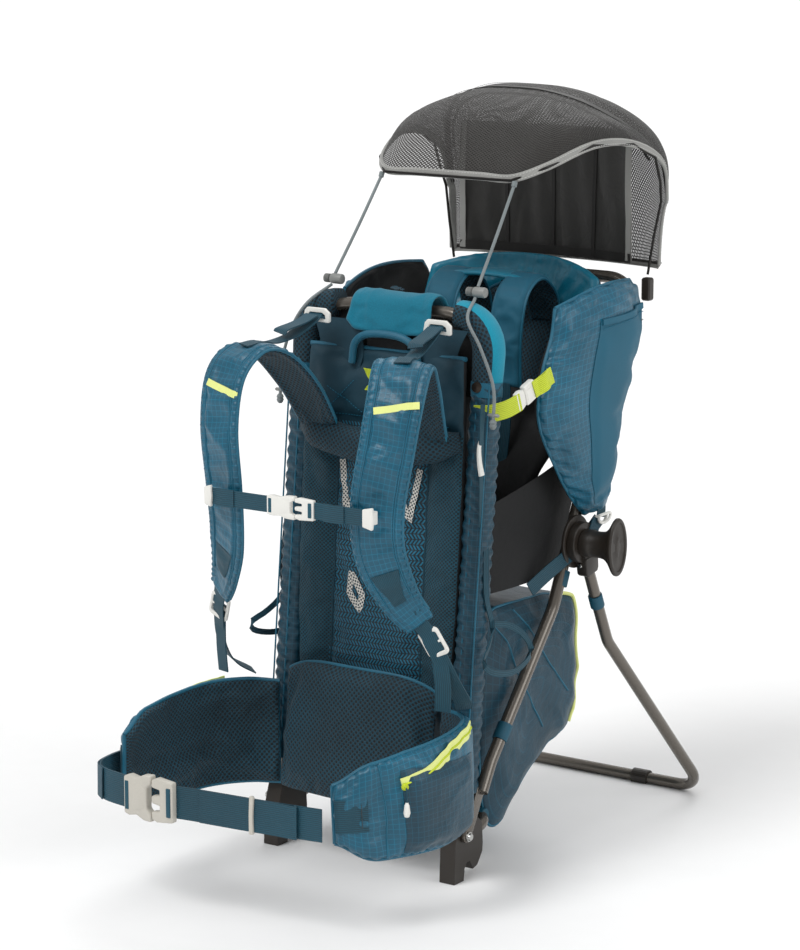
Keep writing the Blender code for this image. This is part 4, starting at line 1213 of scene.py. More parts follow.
# ------------------------------------------------------------------------------- frame
@dataclass
class TubeFrame:
    """The bent tubes, feet, hubs and folding leg."""

    half_track: float = HALF_TRACK
    top: float = 0.690
    tube_radius: float = 0.008
    leg_radius: float = 0.0075
    hub: tuple[float, float] = (0.238, 0.388)
    crossbar: float = 0.4967

    def arch(self, bottom: float) -> list[Vector]:
        """The back frame's upside-down U, down to a height."""
        corners = [
            (side * self.half_track, frame_y(z), z)
            for side, z in ((1, bottom), (1, self.top), (-1, self.top), (-1, bottom))
        ]
        return rounded(corners, 0.065)

    def rear(self) -> list[Vector]:
        """The side tubes, which rise from the feet past the hubs and meet behind the seat."""
        half = [
            (0.1535, 0.037, 0.108),
            (0.150, 0.062, 0.140),
            (0.150, 0.202, 0.306),
            (0.150, 0.240, 0.388),
            (0.150, 0.265, 0.440),
            (0.148, 0.372, 0.620),
            (0.146, 0.407, 0.700),
        ]
        return rounded([*half, *mirrored(half[::-1], -1)], 0.045)

    def leg(self) -> list[Vector]:
        """The folding leg's U."""
        half = [(0.1715, 0.251, 0.352), (0.1720, 0.300, 0.247), (0.2050, self.crossbar, self.leg_radius)]
        return rounded([*half, *mirrored(half[::-1], -1)], 0.034)

    def build(self, shop: Workshop) -> None:
        """Makes the tubes, then what is bolted to them."""
        tube = {"slot": "painted_tube"}
        shop.piece(
            "back_frame_tube", tube_mesh(self.arch(0.050), self.tube_radius), [POWDER_COAT],
            replaces=["main_frame"], **tube,
        )
        loop = [
            (HALF_TRACK, 0.0335, 0.050), (HALF_TRACK, 0.086, 0.062),
            (-HALF_TRACK, 0.086, 0.062), (-HALF_TRACK, 0.0335, 0.050),
        ]
        shop.piece(
            "bottom_loop_tube", tube_mesh(rounded(loop, 0.030), self.leg_radius), [POWDER_COAT],
            replaces=["lower_loop_tube"], **tube,
        )
        shop.piece(
            "side_tube", tube_mesh(self.rear(), self.tube_radius), [POWDER_COAT], replaces=["rear_frame"],
            **tube,
        )
        shop.piece(
            "folding_leg", tube_mesh(self.leg(), self.leg_radius), [POWDER_COAT], "kickstand",
            replaces=["kickstand_tube"], **tube,
        )
        for side, label in SIDES:
            self.flat_end(shop, side, label)
            self.hub_and_knob(shop, side, label)

    def flat_end(self, shop: Workshop, side: int, label: str) -> None:
        """The pressed-flat end of the side tube, bolted to the foot."""
        start, end = Vector((0.010, 0.058)), Vector((0.039, 0.112))
        along = (end - start).normalized()
        square = Vector((-along.y, along.x))
        outline = []
        for step in range(13):
            angle = math.pi * (0.5 + step / 12)
            outline.append(
                tuple(start + along * 0.0083 * math.cos(angle) + square * 0.0083 * math.sin(angle))
            )
        outline += [tuple(end - square * 0.0083), tuple(end + square * 0.0083)]
        low, high = sorted((side * 0.1470, side * 0.1525))
        shop.piece(
            f"side_tube_flat_end_{label}", side_plate(outline, low, high, 0.0015), [POWDER_COAT],
            slot="painted_tube",
        )

    def hub_and_knob(self, shop: Workshop, side: int, label: str) -> None:
        """The pivot: a fixed plate, the turning block with its cooling-fin ribs, and the oval knob."""
        y, z = self.hub
        low, high = sorted((side * 0.1586, side * 0.1630))
        base = side_plate(
            [
                (y + 0.031 * math.cos(math.tau * s / 48), z + 0.034 * math.sin(math.tau * s / 48))
                for s in range(48)
            ], low, high, 0.0012,
        )
        shop.piece(
            f"hub_plate_{label}", base, [BLACK_NYLON], slot="black_plastic", replaces=[f"hub_{label}"],
        )
        low, high = sorted((side * 0.1634, side * 0.1745))
        parts = [side_plate(circle(y, z, 0.0262), low, high, 0.0014)]
        arm = [
            (0.2300, 0.384), (0.2372, 0.346), (0.2420, 0.343), (0.2625, 0.348), (0.2645, 0.353),
            (0.2615, 0.388),
        ]
        low, high = sorted((side * 0.1638, side * 0.1795))
        parts.append(side_plate(arm, low, high, 0.0016))
        for rib in range(3):
            height = 0.3655 + 0.0062 * rib
            fin = [
                (0.2330, height), (0.2660, height + 0.004), (0.2660, height + 0.0066),
                (0.2330, height + 0.0026),
            ]
            parts.append(side_plate(fin, low + 0.0006 * side, high + 0.0010 * side, 0.0006))
        shop.piece(
            f"hub_block_{label}", joined(parts), [BLACK_NYLON], "kickstand", slot="black_plastic",
            replaces=[f"kickstand_lug_{label}"],
        )
        sections = [
            (0.1642, 0.0060, 0.0060),
            (0.1749, 0.0060, 0.0060),
            (0.1750, 0.0168, 0.0168),
            (0.1758, 0.0177, 0.0177),
            (0.1800, 0.0178, 0.0178),
            (0.1868, 0.0178, 0.0178),
            (0.1882, 0.0170, 0.0174),
            (0.1910, 0.0160, 0.0168),
            (0.1960, 0.0149, 0.0168),
            (0.2010, 0.0145, 0.0172),
            (0.2055, 0.0145, 0.0182),
            (0.2095, 0.0152, 0.0210),
            (0.2130, 0.0164, 0.0248),
            (0.2160, 0.0180, 0.0296),
            (0.2182, 0.0194, 0.0333),
            (0.2196, 0.0204, 0.0360),
            (0.2206, 0.0208, 0.0371),
            (0.2226, 0.0208, 0.0372),
            (0.2240, 0.0203, 0.0365),
            (0.2248, 0.0192, 0.0350),
            (0.2246, 0.0166, 0.0318),
            (0.2232, 0.0158, 0.0308),
            (0.2230, 0.0060, 0.0140),
            (0.2236, 0.0052, 0.0128),
            (0.2236, 0.0012, 0.0030),
        ]
        knob = spool([(side * x, wide, high) for x, wide, high in sections], y, z)
        shop.piece(
            f"release_knob_{label}", knob, [BLACK_NYLON], f"knob_{label}", slot="black_plastic",
            replaces=[f"knob_{label}"],
        )


def dress_nodes(frame: dict, names: Sequence[str], finish: Finish, round_edges: float = 0.0) -> None:
    """Gives CAD nodes that stay in view their finish.

    Args:
        names: The nodes.
        finish: Their finish.
        round_edges: The radius of their edges, or 0.
    """
    for name in names:
        node = frame["nodes"][name]
        node.data.materials.clear()
        node.data.materials.append(finish.material())
        if round_edges:
            weld = node.modifiers.new("weld", "WELD")
            weld.merge_threshold = 0.00001
            bevel = node.modifiers.new("round_edges", "BEVEL")
            bevel.width = round_edges
            bevel.segments = 3
            bevel.limit_method = "ANGLE"
            bevel.angle_limit = math.radians(35)
            bevel.harden_normals = True
        LOG.info("%s: dressed", name)


# ------------------------------------------------------------------------------- canopy
BRIM = [
    (0.0, 0.187, 0.846), (0.050, 0.187, 0.846), (0.095, 0.188, 0.846), (0.125, 0.222, 0.860),
    (0.148, 0.295, 0.882), (0.163, 0.365, 0.878), (0.170, 0.425, 0.850), (0.168, 0.440, 0.800),
]
RIDGE = [
    (0.0, 0.335, 0.944), (0.045, 0.338, 0.942), (0.085, 0.350, 0.932), (0.113, 0.368, 0.917),
    (0.137, 0.390, 0.897), (0.153, 0.412, 0.875), (0.164, 0.432, 0.845), (0.166, 0.442, 0.798),
]
REAR_EDGE = [
    (0.0, 0.462, 0.716), (0.045, 0.461, 0.716), (0.085, 0.457, 0.716), (0.112, 0.452, 0.716),
    (0.132, 0.448, 0.716), (0.146, 0.444, 0.716), (0.156, 0.440, 0.716), (0.160, 0.436, 0.716),
]


@dataclass
class Canopy:
    """The sun canopy: one mesh sheet over a brim wire and a ridge bow, its piping and its inner curtain."""

    columns: int = 120
    rows: int = 90
    curtain_half: float = 0.132
    edges: dict[str, Track] = field(default_factory=dict)

    def __post_init__(self) -> None:
        """Makes the three edges smooth, each from left to right."""
        for name, knots in (("brim", BRIM), ("ridge", RIDGE), ("rear", REAR_EDGE)):
            self.edges[name] = [*mirrored(knots[:0:-1], -1), *mirrored(knots, 1)]

    def edge(self, name: str, across: float) -> Vector:
        """The point of an edge at across, -1 to 1, on a smooth curve through its knots."""
        knots = self.edges[name]
        spot = (across + 1) / 2 * (len(knots) - 1)
        index = min(max(int(spot), 0), len(knots) - 2)
        t = spot - index
        a, b, c, d = (knots[min(max(index + k, 0), len(knots) - 1)] for k in (-1, 0, 1, 2))
        return 0.5 * (
            2 * b + (c - a) * t + (2 * a - 5 * b + 4 * c - d) * t * t + (3 * b - a - 3 * c + d) * t**3
        )

    def point(self, across: float, along: float, inset: float = 0.0006) -> Vector:
        """The cover at across, -1 to 1, and along, 0 at the brim, 1 at the ridge and 2 at the rear edge."""
        ridge = self.edge("ridge", across)
        fade = 1 - abs(across) ** 3
        middle = Vector((0, 0.34, 0.80))
        if along <= 1:
            brim = self.edge("brim", across)
            made = brim.lerp(ridge, along) + Vector(
                (0, -0.57, 0.82)
            ) * 0.029 * fade * 4 * along * (1 - along)
        else:
            t = along - 1
            rear = self.edge("rear", across)
            over = ridge + Vector((0, 0.105, 0.026)) * fade
            down = Vector((0.97 * ridge.x, rear.y + 0.045 * fade, 0.865 - 0.075 * (1 - fade)))
            made = ridge * (
                1 - t
            ) ** 3 + 3 * over * t * (1 - t) ** 2 + 3 * down * t**2 * (1 - t) + rear * t**3
        return made + (middle - made).normalized() * inset

    def sag(self, across: float, along: float) -> float:
        """How far the loose mesh hangs in at a point, with soft pulls from the corners."""
        near = min(along, 2 - along, abs(along - 1) + 0.05)
        free = smooth(min(near * 3, 1)) * smooth((1 - abs(across)) * 4)
        fold = creases(Vector((across * 0.20, along * 0.09, 0)), 0.07, 3.1)
        return (0.0010 + 0.0011 * fold) * free

    def build(self, shop: Workshop) -> None:
        """Makes the cover, its piping and seams, and the curtain."""

        def place(u: float, v: float) -> Vector:
            """The sagging cover."""
            across, along = 2 * u - 1, 2 * v
            return self.point(across, along, 0.0006 + self.sag(across, along))

        cover = surface(place, self.columns, self.rows, lambda u, v: (u * 0.46, v * 0.40))
        made = shop.piece(
            "canopy_mesh_sheet", cover, [OPEN_MESH], "canopy", "canopy_mesh", ["canopy_cover"], sharp=180.0,
        )
        self.trims(shop)
        self.curtain(shop)

    def trims(self, shop: Workshop) -> None:
        """The grey piping round the cover, its stitches, and the ridge seam."""
        line = [self.point(step / 60 * 2 - 1, 0, 0.0) for step in range(61)]
        line += [self.point(1, step / 24, 0.0) for step in range(1, 49)]
        front = [self.point(-1, step / 24, 0.0) for step in range(48, 0, -1)]
        path = Track([*front, *line], steps=1, across=None)
        centre = Vector((0, 0.34, 0.83))

        def outward(point: Vector) -> Vector:
            """Away from the middle of the canopy."""
            return (point - centre).normalized()

        stations = round(path.length / 0.004)
        points = [path.at(step / stations)[0] for step in range(stations + 1)]
        outs = []
        for index, point in enumerate(points):
            along = (points[min(index + 1, stations)] - points[max(index - 1, 0)]).normalized()
            far = outward(point)
            outs.append((far - along * far.dot(along)).normalized())
        rows = []
        for index, point in enumerate(points):
            along = (points[min(index + 1, stations)] - points[max(index - 1, 0)]).normalized()
            rows.append((point, along.cross(outs[index]).normalized(), outs[index]))
        ring = oval(0.0052, 0.0019, 3.0, 16)

        def place(u: float, v: float) -> Vector:
            """A flattened roll of tape."""
            point, side, out = rows[round(v * stations)]
            a, b = ring[round(u * 16)]
            return point + side * a + out * b

        piping = surface(place, 16, stations, lambda u, v: (v * path.length, u * 0.022), True)
        shop.piece("canopy_piping", piping, [GROSGRAIN], "canopy", "canopy_cloth")
        for offset, name in ((0.0030, "outer"), (-0.0030, "inner")):
            row = [point + side * offset + out * 0.0020 for point, side, out in rows]
            shop.piece(
                f"canopy_piping_stitches_{name}", stitches(row, 0.0042, 0.0026, 0.0004), [THREAD_PALE],
                "canopy",
            )
        seam = [self.point(step / 48 * 1.96 - 0.98, 1, -0.0006) for step in range(49)]
        away = [outward(point) for point in seam]
        shop.piece(
            "canopy_ridge_seam", band(seam, away, 0.009, 0.0008), [TAFFETA], "canopy", "canopy_cloth",
        )
        for shift in (0.93, 1.07):
            row = [self.point(step / 48 * 1.9 - 0.95, shift, -0.0007) for step in range(49)]
            shop.piece(
                f"canopy_ridge_stitches_{'front' if shift < 1 else 'rear'}",
                stitches(row, 0.0040, 0.0024, 0.0003), [THREAD_DARK], "canopy",
            )
        hem = [self.point(step / 48 * 1.94 - 0.97, 2, 0.0) for step in range(49)]
        shop.piece(
            "canopy_rear_binding", band(hem, [outward(p) for p in hem], 0.010, 0.0016), [GROSGRAIN],
            "canopy", "canopy_cloth",
        )

    def hang(self, across: float, up: float) -> Vector:
        """The curtain behind the head at across, -1 to 1, and up, 0 to 1."""
        folds = 0.0022 * creases(
            Vector((across * 0.13, up * 0.05, 0)), 0.034, 5.0,
        ) + 0.0012 * math.sin(across * 22 + up * 3)
        return Vector(
            (across * self.curtain_half, 0.412 + 0.018 * (1 - across**2) + folds, 0.722 + 0.168 * up)
        )

    def curtain(self, shop: Workshop) -> None:
        """The taffeta curtain with its seams, its grey edge bindings and its hem."""
        cloth = surface(lambda u, v: self.hang(2 * u - 1, v), 96, 56, lambda u, v: (u * 0.27, v * 0.168))
        made = shop.piece(
            "canopy_curtain_cloth", cloth, [TAFFETA], "canopy", "canopy_cloth", ["canopy_curtain"],
            sharp=180.0,
        )
        front = Vector((0, -1, 0))
        for number, across in enumerate((-0.97, -0.50, 0.02, 0.52, 0.97)):
            points = [self.hang(across, step / 30) + front * 0.0008 for step in range(31)]
            edge = abs(across) > 0.9
            strip = band(points, [front] * 31, 0.009 if edge else 0.005, 0.0009)
            shop.piece(
                f"canopy_curtain_tape_{number + 1}", strip, [GROSGRAIN if edge else TAFFETA_SEAM], "canopy",
                "canopy_cloth",
            )
        hem = [self.hang(step / 20 - 1 + step / 20, 0.02) + front * 0.0008 for step in range(21)]
        shop.piece(
            "canopy_curtain_hem", band(hem, [front] * 21, 0.012, 0.0010), [TAFFETA_SEAM], "canopy",
            "canopy_cloth",
        )


# ------------------------------------------------------------------------------- canopy cords
@dataclass
class CanopyCords:
    """The elastic cords that hold the brim down, and the locks on them."""

    diameter: float = 0.004
    upper: tuple[tuple[float, float, float], ...] = (
        (0.1000, 0.1835, 0.8375), (0.1035, 0.1390, 0.7790), (0.107, 0.094, 0.7232),
    )
    lower: tuple[tuple[float, float, float], ...] = (
        (0.1075, 0.0870, 0.7102), (0.1200, 0.0520, 0.6900), (0.1420, 0.0480, 0.6560),
        (0.1590, 0.0500, 0.6100), (0.1600, 0.0480, 0.5650),
    )
    lock: tuple[float, float, float] = (0.107, 0.092, 0.7170)

    def build(self, shop: Workshop) -> None:
        """Makes the four cords and both locks."""
        for side, label in SIDES:
            self.pull(shop, side, label)
            self.tail(shop, side, label)
            self.lock_parts(shop, side, label)

    def declare(
        self, track: Track,
    ) -> None:
        """Shifts the track's points into the row frame, and keeps nothing."""
        points = [point + ROW_SHIFT for point in track.points]
        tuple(points[0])

    def pull(self, shop: Workshop, side: int, label: str) -> None:
        """The taut cord from the lock up to the brim."""
        track = Track(mirrored(self.upper[::-1], side), steps=12)
        cord = shop.piece(
            f"canopy_pull_cord_{label}", cord_mesh(track, self.diameter / 2, 60, 12), [CORD], None,
            "grey_cord", [f"canopy_cord_upper_{label}"],
        )
        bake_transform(cord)
        self.declare(track)
        end = Vector((side * 0.1000, 0.1850, 0.8400))
        loop = turned(
            end - Vector((0, 0.002, 0.004)), end + Vector((0, 0.001, 0.003)),
            [(0, 0.002), (0.1, 0.0034), (0.9, 0.0034), (1, 0.002)],
        )
        shop.piece(f"canopy_cord_eyelet_{label}", loop, [CORD], "canopy", "grey_cord")

    def tail(self, shop: Workshop, side: int, label: str) -> None:
        """The loose end below the lock, which ends in a knot."""
        track = Track(mirrored(self.lower, side), steps=12)
        end = track.points[-1]
        rings = [
            (0, 0.0022), (0.12, 0.0036), (0.30, 0.0046), (0.48, 0.0038), (0.62, 0.0046), (0.85, 0.0036),
            (1, 0.0022),
        ]
        knot = shop.piece(
            f"canopy_cord_knot_{label}",
            turned(end + Vector((0, 0, 0.007)), end - Vector((0, 0, 0.005)), rings), [CORD],
            slot="grey_cord",
        )
        cord = shop.piece(
            f"canopy_tail_cord_{label}", cord_mesh(track, self.diameter / 2, 90, 12), [CORD], "frame",
            "grey_cord", [f"canopy_cord_lower_{label}"],
        )
        self.declare(track)
        bar = turned(
            end + Vector((-0.008, 0.001, 0.012)), end + Vector((0.008, 0.001, 0.012)),
            [(0, 0.0012), (0.1, 0.0022), (0.9, 0.0022), (1, 0.0012)],
        )
        shop.piece(f"canopy_cord_toggle_{label}", bar, [GREY_NYLON], slot="grey_plastic")

    def lock_parts(self, shop: Workshop, side: int, label: str) -> None:
        """The barrel and its ribbed button, which is pressed along X on both locks."""
        x, y, z = side * self.lock[0], self.lock[1], self.lock[2]
        rings = [(0, 0.0050), (0.02, 0.0060), (0.10, 0.0065), (0.86, 0.0065), (0.96, 0.0060), (1, 0.0045)]
        body = turned((x - 0.004, y, z), (x + 0.013, y, z), rings, 28)
        shop.piece(
            f"cord_lock_barrel_{label}", body, [GREY_NYLON], slot="grey_plastic",
            replaces=[f"cord_lock_{label}"],
        )
        ribs = [(0, 0.0042), (0.03, 0.0054)]
        for rib in range(4):
            start = 0.08 + rib * 0.085
            ribs += [
                (start, 0.0056), (start + 0.03, 0.0056), (start + 0.045, 0.0048), (start + 0.07, 0.0048),
            ]
        ribs += [(0.44, 0.0056), (0.47, 0.0036), (1.0, 0.0036)]
        button = turned((x - 0.014, y, z), (x + 0.004, y, z), ribs, 28)
        shop.piece(
            f"cord_lock_plunger_{label}", button, [GREY_NYLON], f"cord_lock_button_{label}", "grey_plastic",
            [f"cord_lock_button_{label}"],
        )


# ------------------------------------------------------------------------------- trims
def pad_sheet(
    pad: Pad, region: Callable[[float, float], Pair], columns: int, rows: int, lift: float, side: int = 1,
) -> BMesh:
    """A sheet of cloth sewn on a pad.

    Args:
        pad: The finished pad.
        region: Gives the pad's u, v at the sheet's own u, v.
        columns: Faces along the sheet's u.
        rows: Faces along its v.
        lift: How far its middle stands off the pad, in metres.
        side: The pad's outer (1) or inner (-1) skin.

    Returns:
        The new mesh.
    """

    def place(u: float, v: float) -> Vector:
        """A point of the sheet, held down at its edge."""
        near = min(u, 1 - u, v, 1 - v)
        return pad.spot(*region(u, v), 0.0007 + lift * smooth(near * 6), side)

    def flat(u: float, v: float) -> Pair:
        """Its UV map, in metres."""
        a, b = region(u, v)
        return a * pad.width, b * pad.length

    return surface(place, columns, rows, flat)


def webbing(
    shop: Workshop, name: str, knots: Sequence[Sequence[float]], width: float,
    across: Sequence[float] | Callable, **facts,
) -> Object:
    """A run of webbing through knots, its width along `across`."""
    finish = facts.pop("finish", WEBBING)
    direction = across if callable(across) else Vector(across)
    return shop.piece(
        name, strap_mesh(Track(knots, direction), width), [finish], facts.pop("body", "frame"), **facts,
    )


@dataclass
class SideReleaseBuckle:
    """A two-part buckle, its length along X and its face towards -Y."""

    name: str
    centre: tuple[float, float]
    socket: tuple[float, float]
    tongue: tuple[float, float]
    low: float
    high: float
    half: float
    finish: Finish
    socket_body: str
    tongue_body: str
    is_node: bool = True

    def outline(self, points: Sequence[Pair]) -> Outline:
        """The whole outline from its upper half, given along X."""
        return [*points, *[(x, -z) for x, z in reversed(points)]]

    def part(self, points: Sequence[Pair], low: float, high: float, bevel: float) -> BMesh:
        """A moulding between two y."""
        placed = [(x, z + self.centre[1]) for x, z in self.outline(points)]
        return plate(placed, high - low, bevel, Matrix.Translation((0, (low + high) / 2, 0)))

    def build(self, shop: Workshop, turn: Matrix | None = None) -> None:
        """Makes the socket, the tongue with its prongs, and the webbing over their bars."""
        h = self.half
        a, b = self.socket
        c, d = self.tongue
        deep = self.high - self.low
        wide = b - a
        socket = self.part(
            [
                (a, h * 0.80), (a + wide * 0.18, h * 0.88), (a + wide * 0.45, h * 0.80),
                (a + wide * 0.72, h * 0.98), (b, h), (b, h * 0.66), (b - wide * 0.16, h * 0.46),
                (b - wide * 0.16, h * 0.10),
            ], self.low, self.high, deep * 0.18,
        )
        raised = self.part(
            [(a + wide * 0.30, h * 0.52), (a + wide * 0.62, h * 0.60), (b - wide * 0.20, h * 0.40)],
            self.low - 0.0002, self.high - deep * 0.3, deep * 0.12,
        )
        parts = [socket, raised]
        extent = d - c
        prongs = self.part(
            [
                (d, h * 0.86), (d - extent * 0.3, h * 0.90), (c + extent * 0.25, h * 0.96), (c, h * 0.84),
                (c, h * 0.52), (c + extent * 0.38, h * 0.46), (c + extent * 0.38, h * 0.22), (c, h * 0.16),
            ], self.low + deep * 0.10, self.high - deep * 0.10, deep * 0.16,
        )
        for label, meshes, body in (
            ("socket", parts, self.socket_body), ("tongue", [prongs], self.tongue_body),
        ):
            whole = joined(meshes)
            if turn:
                bmesh.ops.transform(whole, matrix=turn, verts=whole.verts)
            node = f"{self.name}_{label}"
            replaced = [node] if self.is_node else []
            shop.piece(f"{node}_moulding", whole, [self.finish], body, "white_plastic", replaced)
        for label, x, body in (
            ("socket", a + wide * 0.12, self.socket_body), ("tongue", d - extent * 0.17, self.tongue_body),
        ):
            half = min(wide, extent) * 0.09
            bar = plate(
                [
                    (x - half, self.centre[1] - h * 0.62), (x + half, self.centre[1] - h * 0.62),
                    (x + half, self.centre[1] + h * 0.62), (x - half, self.centre[1] + h * 0.62),
                ], deep * 0.8, 0.0006, Matrix.Translation((0, self.low + deep * 0.36, 0)),
            )
            shop.piece(f"{self.name}_{label}_turn", bar, [WEBBING], body, "teal_webbing")


def ladder_lock(width: float, height: float, turn: Matrix) -> BMesh:
    """A webbing adjuster: a rounded frame with a bar across its window."""
    outer = oblong(width / 2, height / 2, 0.006, 4)
    inner = oblong(width / 2 - 0.0038, height / 2 - 0.0055, 0.003, 4)
    frame_part = plate(outer, 0.0042, 0.0011, turn, inner)
    bar = plate(oblong(width / 2 - 0.002, 0.0016, 0.001, 2), 0.0034, 0.0006, turn)
    return joined([frame_part, bar])


# ------------------------------------------------------------------------------- shoulder harness
@dataclass
class ShoulderHarness:
    """Two padded straps, their load lifters and adjusters, and the chest strap."""

    knots: tuple[tuple[float, float, float], ...] = (
        (0.080, 0.024, 0.545), (0.088, -0.008, 0.598), (0.102, -0.046, 0.640), (0.116, -0.078, 0.648),
        (0.126, -0.106, 0.620), (0.124, -0.122, 0.560), (0.114, -0.127, 0.490), (0.114, -0.122, 0.430),
        (0.130, -0.106, 0.378), (0.150, -0.090, 0.345),
    )
    widths: tuple[float, ...] = (0.058, 0.070, 0.072, 0.068, 0.066, 0.062, 0.040)
    thickness: float = 0.0100
    chest: tuple[float, float] = (-0.150, 0.480)
    pads: dict[int, Pad] = field(default_factory=dict)
    tracks: dict[int, Track] = field(default_factory=dict)

    def across(self, side: int) -> Callable[[float], Vector]:
        """The direction of a strap's width along it."""
        turn_y = (0.0, 0.05, 0.15, 0.22, 0.24, 0.24, 0.30, 0.40)
        turn_z = (0.0, -0.05, -0.05, 0.0, 0.0, 0.25)
        return lambda t: Vector((1.0, side * mix(turn_y, t), side * mix(turn_z, t)))

    def height(self, side: int, z: float) -> float:
        """The share of the strap's length at which its front reaches a height."""
        track = self.tracks[side]
        last = len(track.points) - 1
        top = max(range(last + 1), key=lambda index: track.points[index].z)
        return next((index for index in range(top, last + 1) if track.points[index].z < z), last) / last

    def wrinkle(self, side: int) -> Callable[[float, float, int], float]:
        """The folds of one strap: soft ones over the panel, tight ones along the sewn edges."""
        length = self.tracks[side].length

        def fold(u: float, v: float, skin: int) -> float:
            """Height of the folds."""
            width = mix(self.widths, v)
            edge = min(u, 1 - u) * width
            along = v * length
            soft = 0.0009 * creases(
                Vector((u * width * 0.7 + along * 0.25, along * 0.8, 0)), 0.024, 2.0 + side,
            )
            if skin < 0:
                return soft * 0.5
            jitter = noise.noise(Vector((along * 40, u * 2, side * 3.0)))
            ruche = 0.0012 * smooth(1 - edge / 0.011) * math.sin(math.tau * along / 0.0105 + 3.0 * jitter)
            return soft * smooth(edge / 0.012 + 0.3) + ruche

        return fold

    def build(self, shop: Workshop) -> None:
        """Makes the padded straps and the hard parts."""
        for side, label in SIDES:
            track = Track(mirrored(self.knots, side), self.across(side))
            self.tracks[side] = track

            def place(u: float, v: float, track: Track = track) -> Vector:
                """The strap's middle surface."""
                point, across, _ = track.at(v)
                return point + across * (u - 0.5) * mix(self.widths, v)

            self.pads[side] = shop.pad(
                Pad(
                    f"shoulder_pad_{label}", place, 0.066, track.length, self.thickness,
                    (RIPSTOP, SPACER, BINDING), out=-1, crown=0.011, rim=0.45, cell=0.005, puff=0.0035,
                    fill=0.55, pinch=lambda u, v: max(bump_at(u, 0.15, 0.07), bump_at(u, 0.85, 0.07)) * 0.7,
                    wrinkle=self.wrinkle(side), pick=lambda u, v, skin: {1: 0, -1: 1, 0: 2}[skin],
                    slot="ripstop", replaces=(f"shoulder_strap_{label}",),
                )
            )
            self.lifter(shop, side, label)
            self.adjuster(shop, side, label)
        self.chest_strap(shop)

    def lifter(self, shop: Workshop, side: int, label: str) -> None:
        """The white hook under the handle and the webbing folded through it."""
        x = side * 0.090
        hook = [
            (-0.0200, -0.0068), (-0.0170, -0.0072), (0.0185, -0.0088), (0.0200, -0.0070), (0.0198, 0.0030),
            (0.0125, 0.0088), (-0.0140, 0.0088), (-0.0175, 0.0050),
        ]
        slot_at = [
            (-0.0120, -0.0034), (-0.0110, -0.0040), (0.0130, -0.0050), (0.0140, -0.0040), (0.0130, 0.0006),
            (0.0085, 0.0032), (-0.0095, 0.0032), (-0.0118, 0.0010),
        ]
        turn = Matrix.Translation((x, 0.0322, 0.680))
        shop.piece(
            f"lifter_hook_moulding_{label}", plate(hook, 0.0044, 0.0012, turn, slot_at), [ACETAL],
            slot="white_plastic", replaces=[f"lifter_hook_{label}"],
        )
        webbing(
            shop, f"lifter_webbing_{label}",
            [
                (x, 0.0345, 0.6830), (x, 0.0285, 0.6800), (x * 1.01, 0.0180, 0.6730),
                (x * 1.06, -0.0120, 0.6600), (x * 1.15, -0.0420, 0.6540), (x * 1.22, -0.0620, 0.6570),
                (x * 1.30, -0.0820, 0.6545),
            ], 0.020, (1, 0, 0), slot="teal_webbing",
        )
        webbing(
            shop, f"lifter_webbing_end_{label}",
            [
                (x * 1.02, 0.0240, 0.6810), (x * 1.05, 0.0020, 0.6740), (x * 1.10, -0.0250, 0.6690),
                (x * 1.12, -0.0310, 0.6640),
            ], 0.020, (1, 0, 0), slot="teal_webbing",
        )

    def adjuster(self, shop: Workshop, side: int, label: str) -> None:
        """The ladder lock at the strap's lower end and the webbing through it."""
        turn = Matrix.Translation(
            (side * 0.1605, -0.0785, 0.3230)
        ) @ Matrix.Rotation(math.radians(-24 * side), 4, "Y")
        turn = turn @ Matrix.Rotation(math.radians(16), 4, "X")
        shop.piece(
            f"strap_ladder_lock_{label}", ladder_lock(0.030, 0.037, turn), [ACETAL], slot="white_plastic",
            replaces=[f"strap_adjuster_{label}"],
        )
        knots = mirrored(
            [
                (0.1440, -0.0985, 0.3620), (0.1510, -0.0905, 0.3450), (0.1575, -0.0840, 0.3330),
                (0.1605, -0.0815, 0.3230), (0.1650, -0.0750, 0.3080), (0.1730, -0.0600, 0.2740),
                (0.1740, -0.0380, 0.2450), (0.1600, -0.0120, 0.2260),
            ], side,
        )
        webbing(
            shop, f"strap_webbing_{label}", knots, 0.021, lambda t: (1.0, side * 0.30, side * 0.35),
            slot="teal_webbing",
        )
        tail = mirrored(
            [
                (0.1590, -0.0750, 0.3260), (0.1640, -0.0720, 0.3060), (0.1670, -0.0680, 0.2700),
                (0.1655, -0.0660, 0.2360),
            ], side,
        )
        webbing(
            shop, f"strap_webbing_tail_{label}", tail, 0.020, lambda t: (1.0, side * 0.30, side * 0.35),
            slot="teal_webbing",
        )

